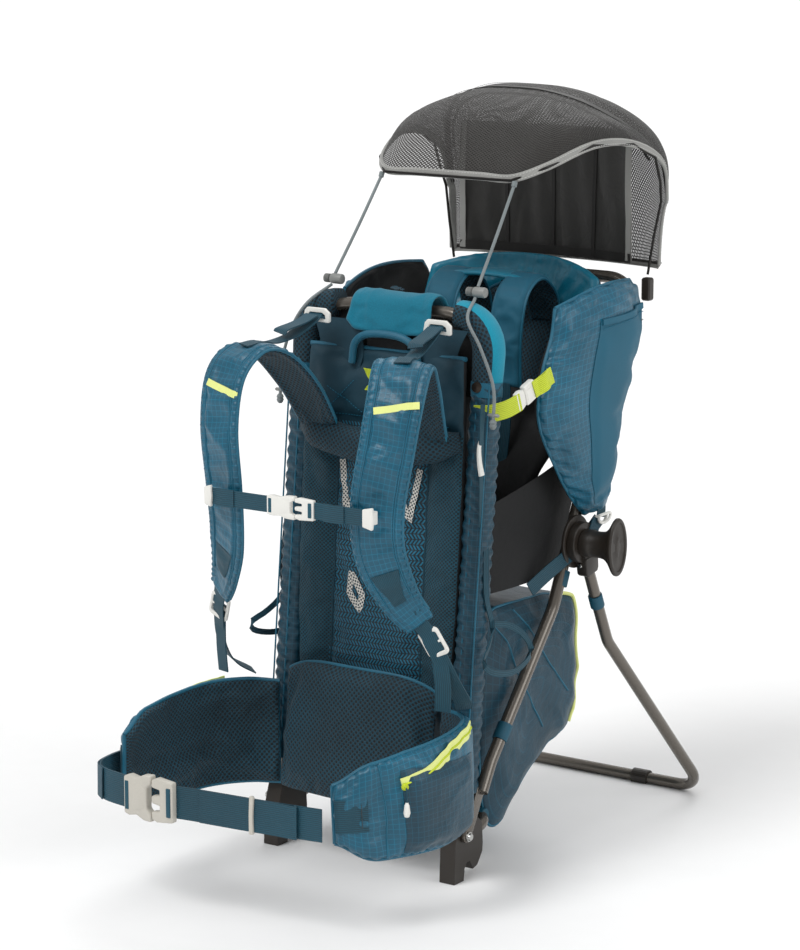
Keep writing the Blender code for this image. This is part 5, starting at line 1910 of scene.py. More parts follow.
    def chest_strap(self, shop: Workshop) -> None:
        """The chest strap's webbing, buckle, end clips and elastic keeper."""
        y, z = self.chest
        up = (0, 0, 1)
        left = [
            (-0.1190, y + 0.0012, z), (-0.0900, y, z), (-0.0600, y - 0.0006, z), (-0.0225, y - 0.0002, z),
        ]
        right = [(0.0330, y - 0.0002, z), (0.0600, y - 0.0004, z), (0.0900, y, z), (0.1190, y + 0.0006, z)]
        webbing(
            shop, "chest_webbing_left", left, 0.020, up, body="sternum_strap", slot="teal_webbing",
            replaces=["sternum_webbing_left"],
        )
        webbing(
            shop, "chest_webbing_right", right, 0.020, up, body="sternum_tongue", slot="teal_webbing",
            replaces=["sternum_webbing_right"],
        )
        SideReleaseBuckle(
            "sternum_buckle", (0, z), (-0.0285, 0.0120), (0.0123, 0.0395), y - 0.0045, y + 0.0035, 0.0142,
            ACETAL, "sternum_strap", "sternum_tongue",
        ).build(shop)
        for x, label, body in (
            (0.0660, "keeper", "sternum_tongue"), (0.0700, "keeper_fold", "sternum_tongue"),
            (-0.0930, "fold", "sternum_strap"),
        ):
            loop = [(x - 0.013, y - 0.0016, z), (x, y - 0.0030, z), (x + 0.013, y - 0.0016, z)]
            webbing(shop, f"chest_{label}", loop, 0.0215, up, body=body, slot="teal_webbing")
        for x, label, body in ((-0.1190, "left", "sternum_strap"), (0.1190, "right", "sternum_tongue")):
            lean = 0.0035 if x > 0 else 0.0
            outline = [
                (x - 0.0055 - lean, z - 0.0105), (x + 0.0045, z - 0.0135), (x + 0.0060, z),
                (x + 0.0045, z + 0.0135), (x - 0.0055 - lean, z + 0.0105),
            ]
            clip = plate(outline, 0.0050, 0.0012, Matrix.Translation((0, y - 0.0006, 0)))
            shop.piece(f"chest_clip_{label}", clip, [ACETAL], body, "white_plastic")
            foot = [
                (x - 0.0030, z - 0.0080), (x + 0.0040, z - 0.0080), (x + 0.0040, z + 0.0080),
                (x - 0.0030, z + 0.0080),
            ]
            shop.piece(
                f"chest_clip_foot_{label}",
                plate(foot, 0.0100, 0.0012, Matrix.Translation((0, y + 0.0062, 0))), [ACETAL], body,
                "white_plastic",
            )

    def dress(self, shop: Workshop) -> None:
        """Adds the bindings, seams, stripe and stitches."""
        for side, label in SIDES:
            pad = self.pads[side]
            for edge in (0, 1):
                line = [pad.place(edge, 0.02 + 0.96 * step / 60) for step in range(61)]
                shop.piece(
                    f"shoulder_binding_{label}_{edge + 1}", cord_mesh(Track(line, steps=1), 0.0019, 120, 8),
                    [BINDING], slot="ripstop",
                )
                u = 0.15 + 0.70 * edge
                seam = pad_cord(pad, [(u, 0.03), (u, 0.3), (u, 0.6), (u, 0.93)], 0.0011, 80, 1, 0.0)
                shop.piece(f"shoulder_seam_{label}_{edge + 1}", seam, [BINDING], slot="ripstop")
                shift = u + (0.035 if edge == 0 else -0.035)
                points = [pad.spot(shift, 0.04 + 0.88 * step / 90, 0.0004) for step in range(91)]
                shop.piece(f"shoulder_stitches_{label}_{edge + 1}", stitches(points), [THREAD_TEAL])
            v = self.height(side, 0.606)
            tilt = 0.012 * side
            stripe = pad_band(
                pad, [(0.17, v + tilt), (0.5, v), (0.83, v - tilt), (0.97, v - 1.3 * tilt)], 0.0085, 20,
                0.0009,
            )
            shop.piece(f"shoulder_stripe_{label}", stripe, [LIME_TAPE])
            v = self.height(side, 0.392)
            patch = pad_sheet(
                pad, lambda a, b, v=v: (0.5 + (a - 0.5) * (0.62 - 0.30 * b), v + (b - 0.5) * 0.085), 10, 12,
                0.0006,
            )
            shop.piece(f"shoulder_anchor_{label}", patch, [WEBBING], slot="teal_webbing")


# ------------------------------------------------------------------------------- hip belt
@dataclass
class HipBelt:
    """The lumbar pad, both wings, the pocket and the belt's webbing and buckle."""

    right: tuple[tuple[float, float, float], ...] = (
        (0.124, -0.004, 0.152), (0.160, -0.020, 0.153), (0.186, -0.060, 0.154), (0.191, -0.110, 0.151),
        (0.181, -0.160, 0.149), (0.160, -0.203, 0.145), (0.124, -0.231, 0.143),
    )
    left: tuple[tuple[float, float, float], ...] = (
        (-0.124, -0.004, 0.150), (-0.160, -0.020, 0.150), (-0.185, -0.060, 0.151), (-0.193, -0.110, 0.151),
        (-0.195, -0.165, 0.151), (-0.192, -0.230, 0.152),
    )
    heights: tuple[float, ...] = (0.132, 0.134, 0.134, 0.132, 0.126, 0.116, 0.090)
    thickness: float = 0.0185
    pads: dict[int, Pad] = field(default_factory=dict)

    def lumbar(self, u: float, v: float) -> Vector:
        """The middle surface of the pad behind the waist."""
        a = 2 * u - 1
        z = 0.085 + (0.252 - 0.018 * a**4 - 0.085) * v
        return Vector((a * 0.112, -0.020 + 0.012 * a * a + 0.02 * (v - 0.5), z))

    def build(self, shop: Workshop) -> None:
        """Makes the three pads, the webbing and the buckle."""
        for side, label in SIDES:
            track = Track(self.right if side > 0 else self.left, Vector((0, 0, 1)))

            def place(u: float, v: float, track: Track = track) -> Vector:
                """The wing's middle surface, its corners rounded off at the front end."""
                point, up, _ = track.at(v)
                return point + up * (u - 0.5) * mix(self.heights, v) * (
                    1 - 0.22 * smooth((v - 0.86) / 0.14)
                )

            def dart(u: float, v: float, side: int = side) -> float:
                """The sewn dart in the lining, and the pocket's rear seam."""
                if side < 0:
                    return bump_at(
                        u, 0.40 + 0.06 * (v - 0.6), 0.09,
                    ) * smooth((v - 0.28) * 8) * smooth((0.86 - v) * 8)
                return 0.8 * bump_at(v, 0.80, 0.03) * smooth(u * 6)

            def fold(u: float, v: float, skin: int, track: Track = track, side: int = side) -> float:
                """Creases of the cloth, gathers along the bound edges."""
                along, up = v * track.length, u * 0.13
                edge = min(u, 1 - u) * 0.13
                if skin < 0:
                    return 0.0007 * creases(Vector((along, up, 0)), 0.05, 4.0)
                ruche = 0.0011 * smooth(1 - edge / 0.014) * math.sin(
                    math.tau * along / 0.013 + 4 * noise.noise(Vector((along * 30, side, 0)))
                )
                return 0.0020 * creases(
                    Vector((along * 0.8 + up * 0.5, up * 0.9, 0)), 0.040, 7.0 + side,
                ) * smooth(edge / 0.01 + 0.2) + ruche

            self.pads[side] = shop.pad(
                Pad(
                    f"hip_wing_pad_{label}", place, 0.130, track.length, self.thickness,
                    (RIPSTOP, SPACER, BINDING), out=side, crown=0.020, rim=0.30, cell=0.0058, puff=0.0065,
                    fill=0.7, pinch=dart, wrinkle=fold, pick=lambda u, v, skin: {1: 0, -1: 1, 0: 2}[skin],
                    slot="ripstop", replaces=(f"hip_wing_{label}",),
                )
            )
        self.pads[0] = shop.pad(
            Pad(
                "lumbar_cushion", self.lumbar, 0.224, 0.162, 0.019, (SPACER, RIPSTOP_DARK), crown=0.022,
                rim=0.3, cell=0.0058, puff=0.006, fill=0.8,
                wrinkle=lambda u, v, skin: 0.0009 * creases(Vector((u * 0.22, v * 0.16, 0)), 0.06, 1.0),
                slot="teal_mesh", replaces=("lumbar_pad",),
            )
        )
        self.webbing(shop)

    def webbing(self, shop: Workshop) -> None:
        """The belt's webbing on both sides, its keepers and the buckle."""
        z = 0.140
        up = (0, 0, 1)
        left = [
            (-0.2080, -0.120, z), (-0.2105, -0.180, z), (-0.2100, -0.232, z), (-0.2020, -0.262, z),
            (-0.1800, -0.2800, z), (-0.1300, -0.2900, z),
        ]
        webbing(
            shop, "belt_webbing_left", left, 0.040, up, slot="teal_webbing", replaces=["hip_webbing_left"],
        )
        over = [
            (-0.2120, -0.170, z), (-0.2135, -0.200, z), (-0.2128, -0.232, z), (-0.2045, -0.2640, z),
            (-0.1830, -0.2820, z),
        ]
        webbing(shop, "belt_webbing_left_end", over, 0.039, lambda t: (0, 0.02, 1), slot="teal_webbing")
        right = [
            (-0.0660, -0.2900, z), (-0.0300, -0.2850, z), (0.0300, -0.2790, z), (0.0900, -0.2720, z),
            (0.1330, -0.2655, z),
        ]
        webbing(
            shop, "belt_webbing_right", right, 0.040, up, body="hip_tongue", slot="teal_webbing",
            replaces=["hip_webbing_right"],
        )
        fold = [
            (-0.0300, -0.2868, z), (0.0200, -0.2822, z), (0.0700, -0.2770, z), (0.0980, -0.2755, z),
            (0.1040, -0.2745, z), (0.0985, -0.2722, z),
        ]
        webbing(shop, "belt_webbing_right_fold", fold, 0.040, up, body="hip_tongue", slot="teal_webbing")
        SideReleaseBuckle(
            "hip_buckle", (0, z), (-0.1350, -0.0940), (-0.0937, -0.0620), -0.3000, -0.2880, 0.0285,
            ACETAL_GREY, "frame", "hip_tongue",
        ).build(shop)
        for name, x, y, body, yaw in (
            ("belt_keeper_right", 0.0430, -0.2815, "hip_tongue", 6.0),
            ("belt_keeper_left", -0.2125, -0.2080, "frame", -88.0),
            ("belt_slider_left", -0.2060, -0.1780, "frame", -88.0),
        ):
            outline = [
                (-0.0028, -0.0225), (0.0028, -0.0225), (0.0022, 0.0), (0.0034, 0.0215), (0.0020, 0.0240),
                (-0.0020, 0.0240), (-0.0030, 0.0),
            ]
            shop.piece(
                name, plate(outline, 0.0050, 0.0010, stand(x, y, z, yaw)), [ACETAL_GREY], body,
                "white_plastic",
            )

    def dress(self, shop: Workshop) -> None:
        """Adds the bindings, the pocket, its zip and pull, and the webbing's sewn tab."""
        for side, label in SIDES:
            pad = self.pads[side]
            for edge in (0, 1):
                line = [pad.place(edge, step / 60) for step in range(61)]
                shop.piece(
                    f"hip_wing_binding_{label}_{edge + 1}", cord_mesh(Track(line, steps=1), 0.0024, 110, 8),
                    [BINDING], slot="ripstop",
                )
            end = [pad.place(step / 24, 1) for step in range(25)]
            shop.piece(
                f"hip_wing_end_{label}", cord_mesh(Track(end, steps=1), 0.0024, 40, 8), [BINDING],
                slot="ripstop",
            )
            seam = pad_cord(pad, [(0.02, 0.80), (0.5, 0.785), (0.98, 0.80)], 0.0011, 40)
            shop.piece(f"hip_wing_seam_{label}", seam, [BINDING], slot="ripstop")
            self.pocket(shop, pad, label)
            tab = pad_band(pad, [(0.50, 0.86), (0.50, 0.93), (0.50, 0.995)], 0.040, 20, 0.0018)
            shop.piece(f"hip_wing_tab_{label}", tab, [WEBBING], slot="teal_webbing")
            row = [(0.36 + 0.28 * step / 20, 0.885) for step in range(21)]
            points = [pad.spot(u, v, 0.0024) for u, v in row]
            shop.piece(f"hip_wing_tab_tack_{label}", stitches(points, 0.0026, 0.002), [THREAD_DARK])
        pad = self.pads[0]
        line = [pad.place(step / 60, 1) for step in range(61)]
        shop.piece(
            "lumbar_binding", cord_mesh(Track(line, steps=1), 0.0022, 90, 8), [BINDING], slot="ripstop",
        )

    def pocket(self, shop: Workshop, pad: Pad, label: str) -> None:
        """The bellows pocket with a curved zip."""
        body = pad_sheet(pad, lambda a, b: (0.04 + a * (0.72 + 0.12 * b), 0.30 + 0.42 * b), 40, 44, 0.0060)
        made = shop.piece(f"hip_pocket_{label}", body, [RIPSTOP_DARK], slot="ripstop", sharp=180.0)
        arc = [(0.965, 0.27), (0.93, 0.40), (0.86, 0.52), (0.78, 0.62), (0.74, 0.72)]
        shop.piece(f"hip_pocket_zip_tape_{label}", pad_band(pad, arc, 0.016, 36, 0.0016), [LIME_TAPE])
        teeth = pad_cord(pad, arc, 0.0013, 60, 1, 0.0022)
        shop.piece(f"hip_pocket_zip_coil_{label}", teeth, [LIME_CLOTH])
        at = pad.spot(0.725, 0.715, 0.004)
        out = pad.normal(0.725, 0.715)
        slider = turned(at - out * 0.002, at + out * 0.003, [(0, 0.0040), (0.3, 0.0046), (1, 0.0034)], 16)
        shop.piece(f"hip_pocket_zip_slider_{label}", slider, [LIME_CLOTH])
        down = [
            at + out * 0.001, at + out * 0.004 + Vector((0, 0, -0.004)),
            at + out * 0.004 + Vector((0, 0, -0.020)),
        ]
        shop.piece(f"hip_pocket_pull_cord_{label}", cord_mesh(Track(down), 0.0011, 24, 8), [CORD_TEAL])
        end = down[-1]
        drop = turned(
            end + Vector((0, 0, 0.002)), end - Vector((0, 0, 0.016)),
            [(0, 0.0016), (0.2, 0.0030), (0.7, 0.0042), (0.95, 0.0030), (1, 0.001)], 18,
        )
        shop.piece(f"hip_pocket_pull_end_{label}", drop, [ACETAL], slot="white_plastic")


# ------------------------------------------------------------------------------- padded back
@dataclass
class BackPanel:
    """The padded back: flat top, head roll, air-mesh middle with silver inserts, ruched side sleeves."""

    low: float = 0.205
    high: float = 0.640
    halves: tuple[float, ...] = (0.112, 0.120, 0.121, 0.121, 0.116)
    seam_x: float = 0.068
    mesh_top: float = 0.515
    cloth_from: float = 0.548
    pad: Pad | None = None

    def place(self, u: float, v: float) -> Vector:
        """The panel's middle surface."""
        a = 2 * u - 1
        z = self.low + (self.high - self.low) * v
        return Vector((a * mix(self.halves, v), panel_y(z) + 0.0085 + 0.006 * (1 - a * a), z))

    def spread(self, x: float, z: float) -> Pair:
        """The panel's u, v at an x and a height."""
        v = (z - self.low) / (self.high - self.low)
        return (x / mix(self.halves, v) + 1) / 2, v

    def seams(self, u: float, v: float) -> float:
        """The seams between the middle and the sides, and under the flat top."""
        x = (2 * u - 1) * mix(self.halves, v)
        z = self.low + (self.high - self.low) * v
        sides = max(
            bump_at(x, self.seam_x, 0.008), bump_at(x, -self.seam_x, 0.008),
        ) * (1.0 if z < self.mesh_top else 0.0)
        return max(sides, 0.8 * bump_at(z, self.cloth_from, 0.010))

    def pick(self, u: float, v: float, side: int) -> int:
        """Air mesh in the middle, spacer mesh beside it, smooth cloth on top, near-black painted shade on
        the inner skin.
        """
        x = (2 * u - 1) * mix(self.halves, v)
        z = self.low + (self.high - self.low) * v
        # The inner skin faces the seat and is painted near-black as shade.
        if side < 1:
            return 3
        if z > self.cloth_from:
            return 2
        return 0 if abs(x) < self.seam_x else 1

    def fold(self, u: float, v: float, side: int) -> float:
        """Shallow quilting of the sides and soft creases on top."""
        z = self.low + (self.high - self.low) * v
        return 0.0008 * creases(Vector((u * 0.22, z, 0)), 0.05 if z < 0.55 else 0.03, 9.0)

    def build(self, shop: Workshop) -> None:
        """Makes the panel, the roll and the sleeves."""
        self.pad = shop.pad(
            Pad(
                "back_cushion", self.place, 0.236, self.high - self.low, 0.014,
                (AIR_MESH, SPACER_FINE, TEAL_CLOTH, SHADE_AND_LABEL_BLACK), crown=0.012, rim=0.5, cell=0.0066, puff=0.004,
                fill=0.6, pinch=self.seams, wrinkle=self.fold, pick=self.pick, slot="teal_mesh",
                replaces=("back_panel",),
            )
        )
        half = [
            (-0.116, 0.0440, 0.540), (-0.085, 0.0290, 0.534), (-0.040, 0.0260, 0.527), (0.0, 0.0265, 0.524),
        ]
        roll = Track([*half, *mirrored(half[-2::-1], -1)], Vector((0, 0, 1)))

        def section(t: float) -> Outline:
            """The roll is thinner where it is sewn in at its ends."""
            share = 0.62 + 0.38 * smooth(min(t, 1 - t) * 7)
            return oval(0.0205 * share, 0.0150 * share, 2.3, 24)

        shop.piece("head_roll", loft(roll, section, 56), [SPACER], slot="teal_mesh", sharp=80.0)
        for side, label in SIDES:
            self.sleeve(shop, side, label)

    def sleeve(self, shop: Workshop, side: int, label: str) -> None:
        """The gathered sleeve round one leg of the frame."""
        track = Track(
            [(side * HALF_TRACK, frame_y(z) - 0.001, z) for z in (0.612, 0.50, 0.40, 0.30, 0.198, 0.110)],
            Vector((side, 0, 0)),
        )

        def section(t: float) -> Outline:
            """A soft oval whose gathers run round it."""
            ring = []
            for a, b in oval(0.0185, 0.0170, 2.2, 28):
                angle = math.atan2(b, a)
                along = t * track.length
                gather = 0.0011 * math.sin(
                    math.tau * along / 0.016 + 2.2 * math.sin(angle * 2) + 3
                    * noise.noise(Vector((along * 25, angle, side)))
                )
                gather += 0.0012 * noise.noise(Vector((along * 50, angle * 1.5, 5.0 * side)))
                scale = 1 + gather / 0.018
                ring.append((a * scale, b * scale))
            ring[-1] = ring[0]
            return ring

        shop.piece(
            f"frame_sleeve_{label}", loft(track, section, 200), [RIPSTOP_DARK], slot="ripstop", sharp=180.0,
        )
        for number, turn in enumerate((-1, 1)):
            line = [
                point + Vector((side * 0.006 + turn * 0.009, -0.0162 - 0.0006 * turn, 0))
                for point in track.points
            ]
            shop.piece(
                f"frame_sleeve_seam_{label}_{number + 1}", cord_mesh(Track(line, steps=1), 0.0011, 120, 8),
                [BINDING], slot="ripstop",
            )
        collar = Track(
            [(side * HALF_TRACK, frame_y(z) - 0.001, z) for z in (0.600, 0.612)], Vector((side, 0, 0)),
        )
        shop.piece(
            f"frame_sleeve_hem_{label}", loft(collar, oval(0.0194, 0.0179, 2.2, 28), 4), [BINDING],
            slot="ripstop", sharp=60.0,
        )

    def dress(self, shop: Workshop) -> None:
        """Adds the silver inserts, the stitching of the top, the window under the handle and the zip."""
        pad = self.pad
        rings = {
            "v": [(-0.0590, 0.500), (-0.0480, 0.436), (-0.0260, 0.474)],
            "diamond": [
                (-0.0090, 0.440), (-0.0360, 0.402), (-0.0160, 0.374), (-0.0060, 0.398), (-0.0090, 0.438),
            ],
            "lozenge": [
                (-0.0360, 0.362), (-0.0400, 0.336), (-0.0220, 0.316), (-0.0190, 0.334), (-0.0360, 0.360),
            ],
        }
        for name, points in rings.items():
            for side, label in SIDES:
                path = [self.spread(side * x, z) for x, z in points]
                shop.piece(
                    f"silver_{name}_{label}", self.insert(path, 0.0088), [SILVER_MESH], slot="teal_mesh",
                )
        rows = [
            [(-0.085, 0.590), (-0.030, 0.560)], [(-0.085, 0.560), (-0.045, 0.600)],
            [(0.085, 0.590), (0.030, 0.560)], [(0.085, 0.560), (0.045, 0.600)],
            [(-0.100, 0.556), (0.100, 0.556)],
        ]
        for number, ((x0, z0), (x1, z1)) in enumerate(rows):
            spots = [
                self.spread(x0 + (x1 - x0) * step / 40, z0 + (z1 - z0) * step / 40) for step in range(41)
            ]
            points = [pad.spot(u, v, 0.0003) for u, v in spots]
            row = stitches(points, 0.0044, 0.0026, 0.00035)
            shop.piece(f"back_top_stitches_{number + 1}", row, [THREAD_TEAL])
        for side, label in SIDES:
            path = [self.spread(side * self.seam_x, z) for z in (self.mesh_top, 0.42, 0.32, 0.215)]
            shop.piece(
                f"back_seam_{label}", pad_cord(pad, path, 0.0012, 90), [TEAL_CLOTH], slot="teal_mesh",
            )
        self.window(shop)
        knots = [
            (0.1470, 0.0405, 0.545), (0.1500, 0.0330, 0.538), (0.1535, 0.0290, 0.522),
            (0.1560, 0.0300, 0.506),
        ]
        pull = loft(
            Track(knots, Vector((0, 1, 0))),
            lambda t: oval(0.0022 + 0.0026 * t, 0.0020 + 0.0006 * t, 2.6, 14), 24,
        )
        shop.piece("side_zip_pull", pull, [ACETAL], slot="white_plastic")
        tape = [
            (0.1480, 0.0440, 0.590), (0.1500, 0.0380, 0.556), (0.1500, 0.0380, 0.500),
            (0.1490, 0.0400, 0.440),
        ]
        webbing(shop, "side_zip_tape", tape, 0.008, (0, 1, 0), slot="teal_webbing")

    def insert(self, path: Sequence[Pair], width: float) -> BMesh:
        """A strip with sharp corners laid on the panel."""
        points, outs = [], []
        for (u0, v0), (u1, v1) in zip(path, path[1:]):
            for step in range(8):
                u, v = u0 + (u1 - u0) * step / 8, v0 + (v1 - v0) * step / 8
                points.append(self.pad.spot(u, v, 0.0006))
                outs.append(self.pad.normal(u, v))
        return band(points, outs, width, 0.0006, 6)

    def window(self, shop: Workshop) -> None:
        """The bound mouth under the handle, with its blank care patch and the lime panel below it; the
        near-black sheet behind the mouth is painted shade.
        """
        # A near-black sheet behind the window: painted shade.
        back = surface(
            lambda u, v: Vector(
                ((2 * u - 1) * 0.108, frame_y(0.60) + 0.006 + 0.004 * v, 0.590 + 0.092 * v)
            ), 8, 6, lambda u, v: (u * 0.216, v * 0.092),
        )
        shop.piece("handle_window_shade_sheet", back, [SHADE_AND_LABEL_BLACK], slot="teal_mesh")
        for side, label in SIDES:
            cheek = surface(
                lambda u, v, side=side: Vector(
                    (
                        side * (0.050 + 0.066 * u - 0.014 * math.sin(math.pi * v)), 0.0500 + 0.010 * v,
                        0.596 + 0.078 * v,
                    )
                ), 8, 8, lambda u, v: (u * 0.066, v * 0.078),
            )
            shop.piece(f"handle_window_cheek_{label}", cheek, [TEAL_CLOTH], slot="teal_mesh")
        patch = plate(
            oblong(0.030, 0.018, 0.003), 0.0010, 0.0003, Matrix.Translation((-0.004, 0.0600, 0.640)),
        )
        shop.piece("care_patch", patch, [SHADE_AND_LABEL_BLACK])
        lime = surface(
            lambda u, v: Vector(
                (
                    (2 * u - 1) * (0.046 - 0.006 * v), 0.0500 + 0.004 * v - 0.006 * math.sin(math.pi * u),
                    0.5900 + 0.026 * v,
                )
            ), 16, 8, lambda u, v: (u * 0.092, v * 0.026),
        )
        shop.piece("lime_panel", lime, [LIME_CLOTH])
        mouth = [
            (-0.050, 0.050, 0.622), (-0.044, 0.049, 0.648), (-0.022, 0.0485, 0.660), (0.022, 0.0485, 0.660),
            (0.044, 0.049, 0.648), (0.050, 0.050, 0.622),
        ]
        shop.piece(
            "handle_window_binding", cord_mesh(Track(mouth), 0.0048, 60, 14), [BINDING], slot="ripstop",
        )
        pad_top = [self.place(step / 40, 1) for step in range(41)]
        shop.piece(
            "back_top_binding", cord_mesh(Track(pad_top, steps=1), 0.0030, 80, 10), [BINDING],
            slot="ripstop",
        )


# ------------------------------------------------------------------------------- top rail
@dataclass
class TopRail:
    """The fleece handle cover with its press studs, and the padded corners of the frame's arch."""

    y: float = 0.081
    z: float = 0.690
    cover: Pad | None = None

    def wrap(self, u: float, v: float) -> Vector:
        """The handle cover's middle surface, from its front flap over the rail to its rear flap."""
        radius = 0.0192
        flap = 0.026 + 0.004 * math.sin(math.pi * u) - 0.010 * smooth((abs(2 * u - 1) - 0.80) / 0.2)
        turn, front, rear = math.pi * radius, flap, 0.022
        spot = v * (front + turn + rear)
        x = (2 * u - 1) * (0.063 - 0.004 * math.sin(math.pi * v))
        if spot < front:
            return Vector((x, self.y - radius - 0.007 * (1 - spot / front), self.z - front + spot))
        if spot < front + turn:
            angle = (spot - front) / radius
            return Vector((x, self.y - radius * math.cos(angle), self.z + radius * math.sin(angle)))
        return Vector((x, self.y + radius + 0.002, self.z - (spot - front - turn)))

    def build(self, shop: Workshop) -> None:
        """Makes the cover and the padded corners."""
        self.cover = shop.pad(
            Pad(
                "handle_fleece_cover", self.wrap, 0.124, 0.110, 0.0050, (FLEECE,), out=-1, crown=0.006,
                rim=0.55, cell=0.0040, puff=0.0012, fill=0.4,
                wrinkle=lambda u, v, side: 0.0010 * creases(Vector((u * 0.12, v * 0.06, 0)), 0.045, 6.0),
                slot="cyan_fleece", replaces=("handle_cover",),
            )
        )
        arch = TubeFrame().arch(0.600)
        for side, label in SIDES:
            half = [point for point in arch if side * point.x > 0.055]
            track = Track(half, Vector((0, 1, 0)), steps=1)

            def section(t: float, side: int = side) -> Outline:
                """A foam sleeve, fuller round the bend."""
                full = 1 + 0.10 * math.sin(math.pi * t)
                return oval(0.0178 * full, 0.0172 * full, 2.4, 30)

            def pick(centre: Vector, normal: Vector, side: int = side) -> int:
                """Fleece outside on the right, spacer mesh on the inner and front faces."""
                inner = normal.x * side < -0.05 or normal.y < -0.72 or (normal.z < -0.25)
                return 1 if inner or side < 0 else 0

            pieces = {"replaces": ["top_rail_pad"]} if side > 0 else {}
            made = shop.piece(
                f"rail_corner_pad_{label}", loft(track, section, 70, pick), [FLEECE_BRIGHT, SPACER],
                slot="cyan_fleece", sharp=180.0, **pieces,
            )
            low = Track([(side * HALF_TRACK, frame_y(z), z) for z in (0.594, 0.606)], Vector((0, 1, 0)))
            shop.piece(
                f"rail_corner_hem_{label}", loft(low, oval(0.0188, 0.0182, 2.4, 24), 4), [BINDING],
                slot="ripstop", sharp=60.0,
            )

    def dress(self, shop: Workshop) -> None:
        """Adds the stitched edge, the press studs and the third stud below the corner."""
        cover = self.cover
        for number, u in enumerate((0.165, 0.835)):
            at, out = cover.spot(u, 0.11, -0.0004), cover.normal(u, 0.11)
            rings = [(0, 0.0068), (0.15, 0.0070), (0.55, 0.0066), (0.85, 0.0048), (1, 0.0008)]
            shop.piece(f"handle_stud_{number + 1}", turned(at, at + out * 0.0026, rings, 28), [STUD])
        rim = [(0.04, v) for v in (0.04, 0.3, 0.6, 0.95)]
        for name, flip in (("left", False), ("right", True)):
            path = [(1 - u if flip else u, v) for u, v in rim]
            line = Track([(u, v, 0) for u, v in path])
            spots = [line.at(step / 60)[0] for step in range(61)]
            points = [cover.spot(p.x, p.y, 0.0002) for p in spots]
            shop.piece(f"handle_stitches_{name}", stitches(points, 0.0040), [THREAD_TEAL])
        at = Vector((0.1330, 0.0535, 0.6080))
        rings = [(0, 0.0064), (0.2, 0.0068), (0.6, 0.0062), (1, 0.0008)]
        shop.piece("corner_stud", turned(at, at + Vector((0.0012, -0.0028, 0)), rings, 28), [STUD])


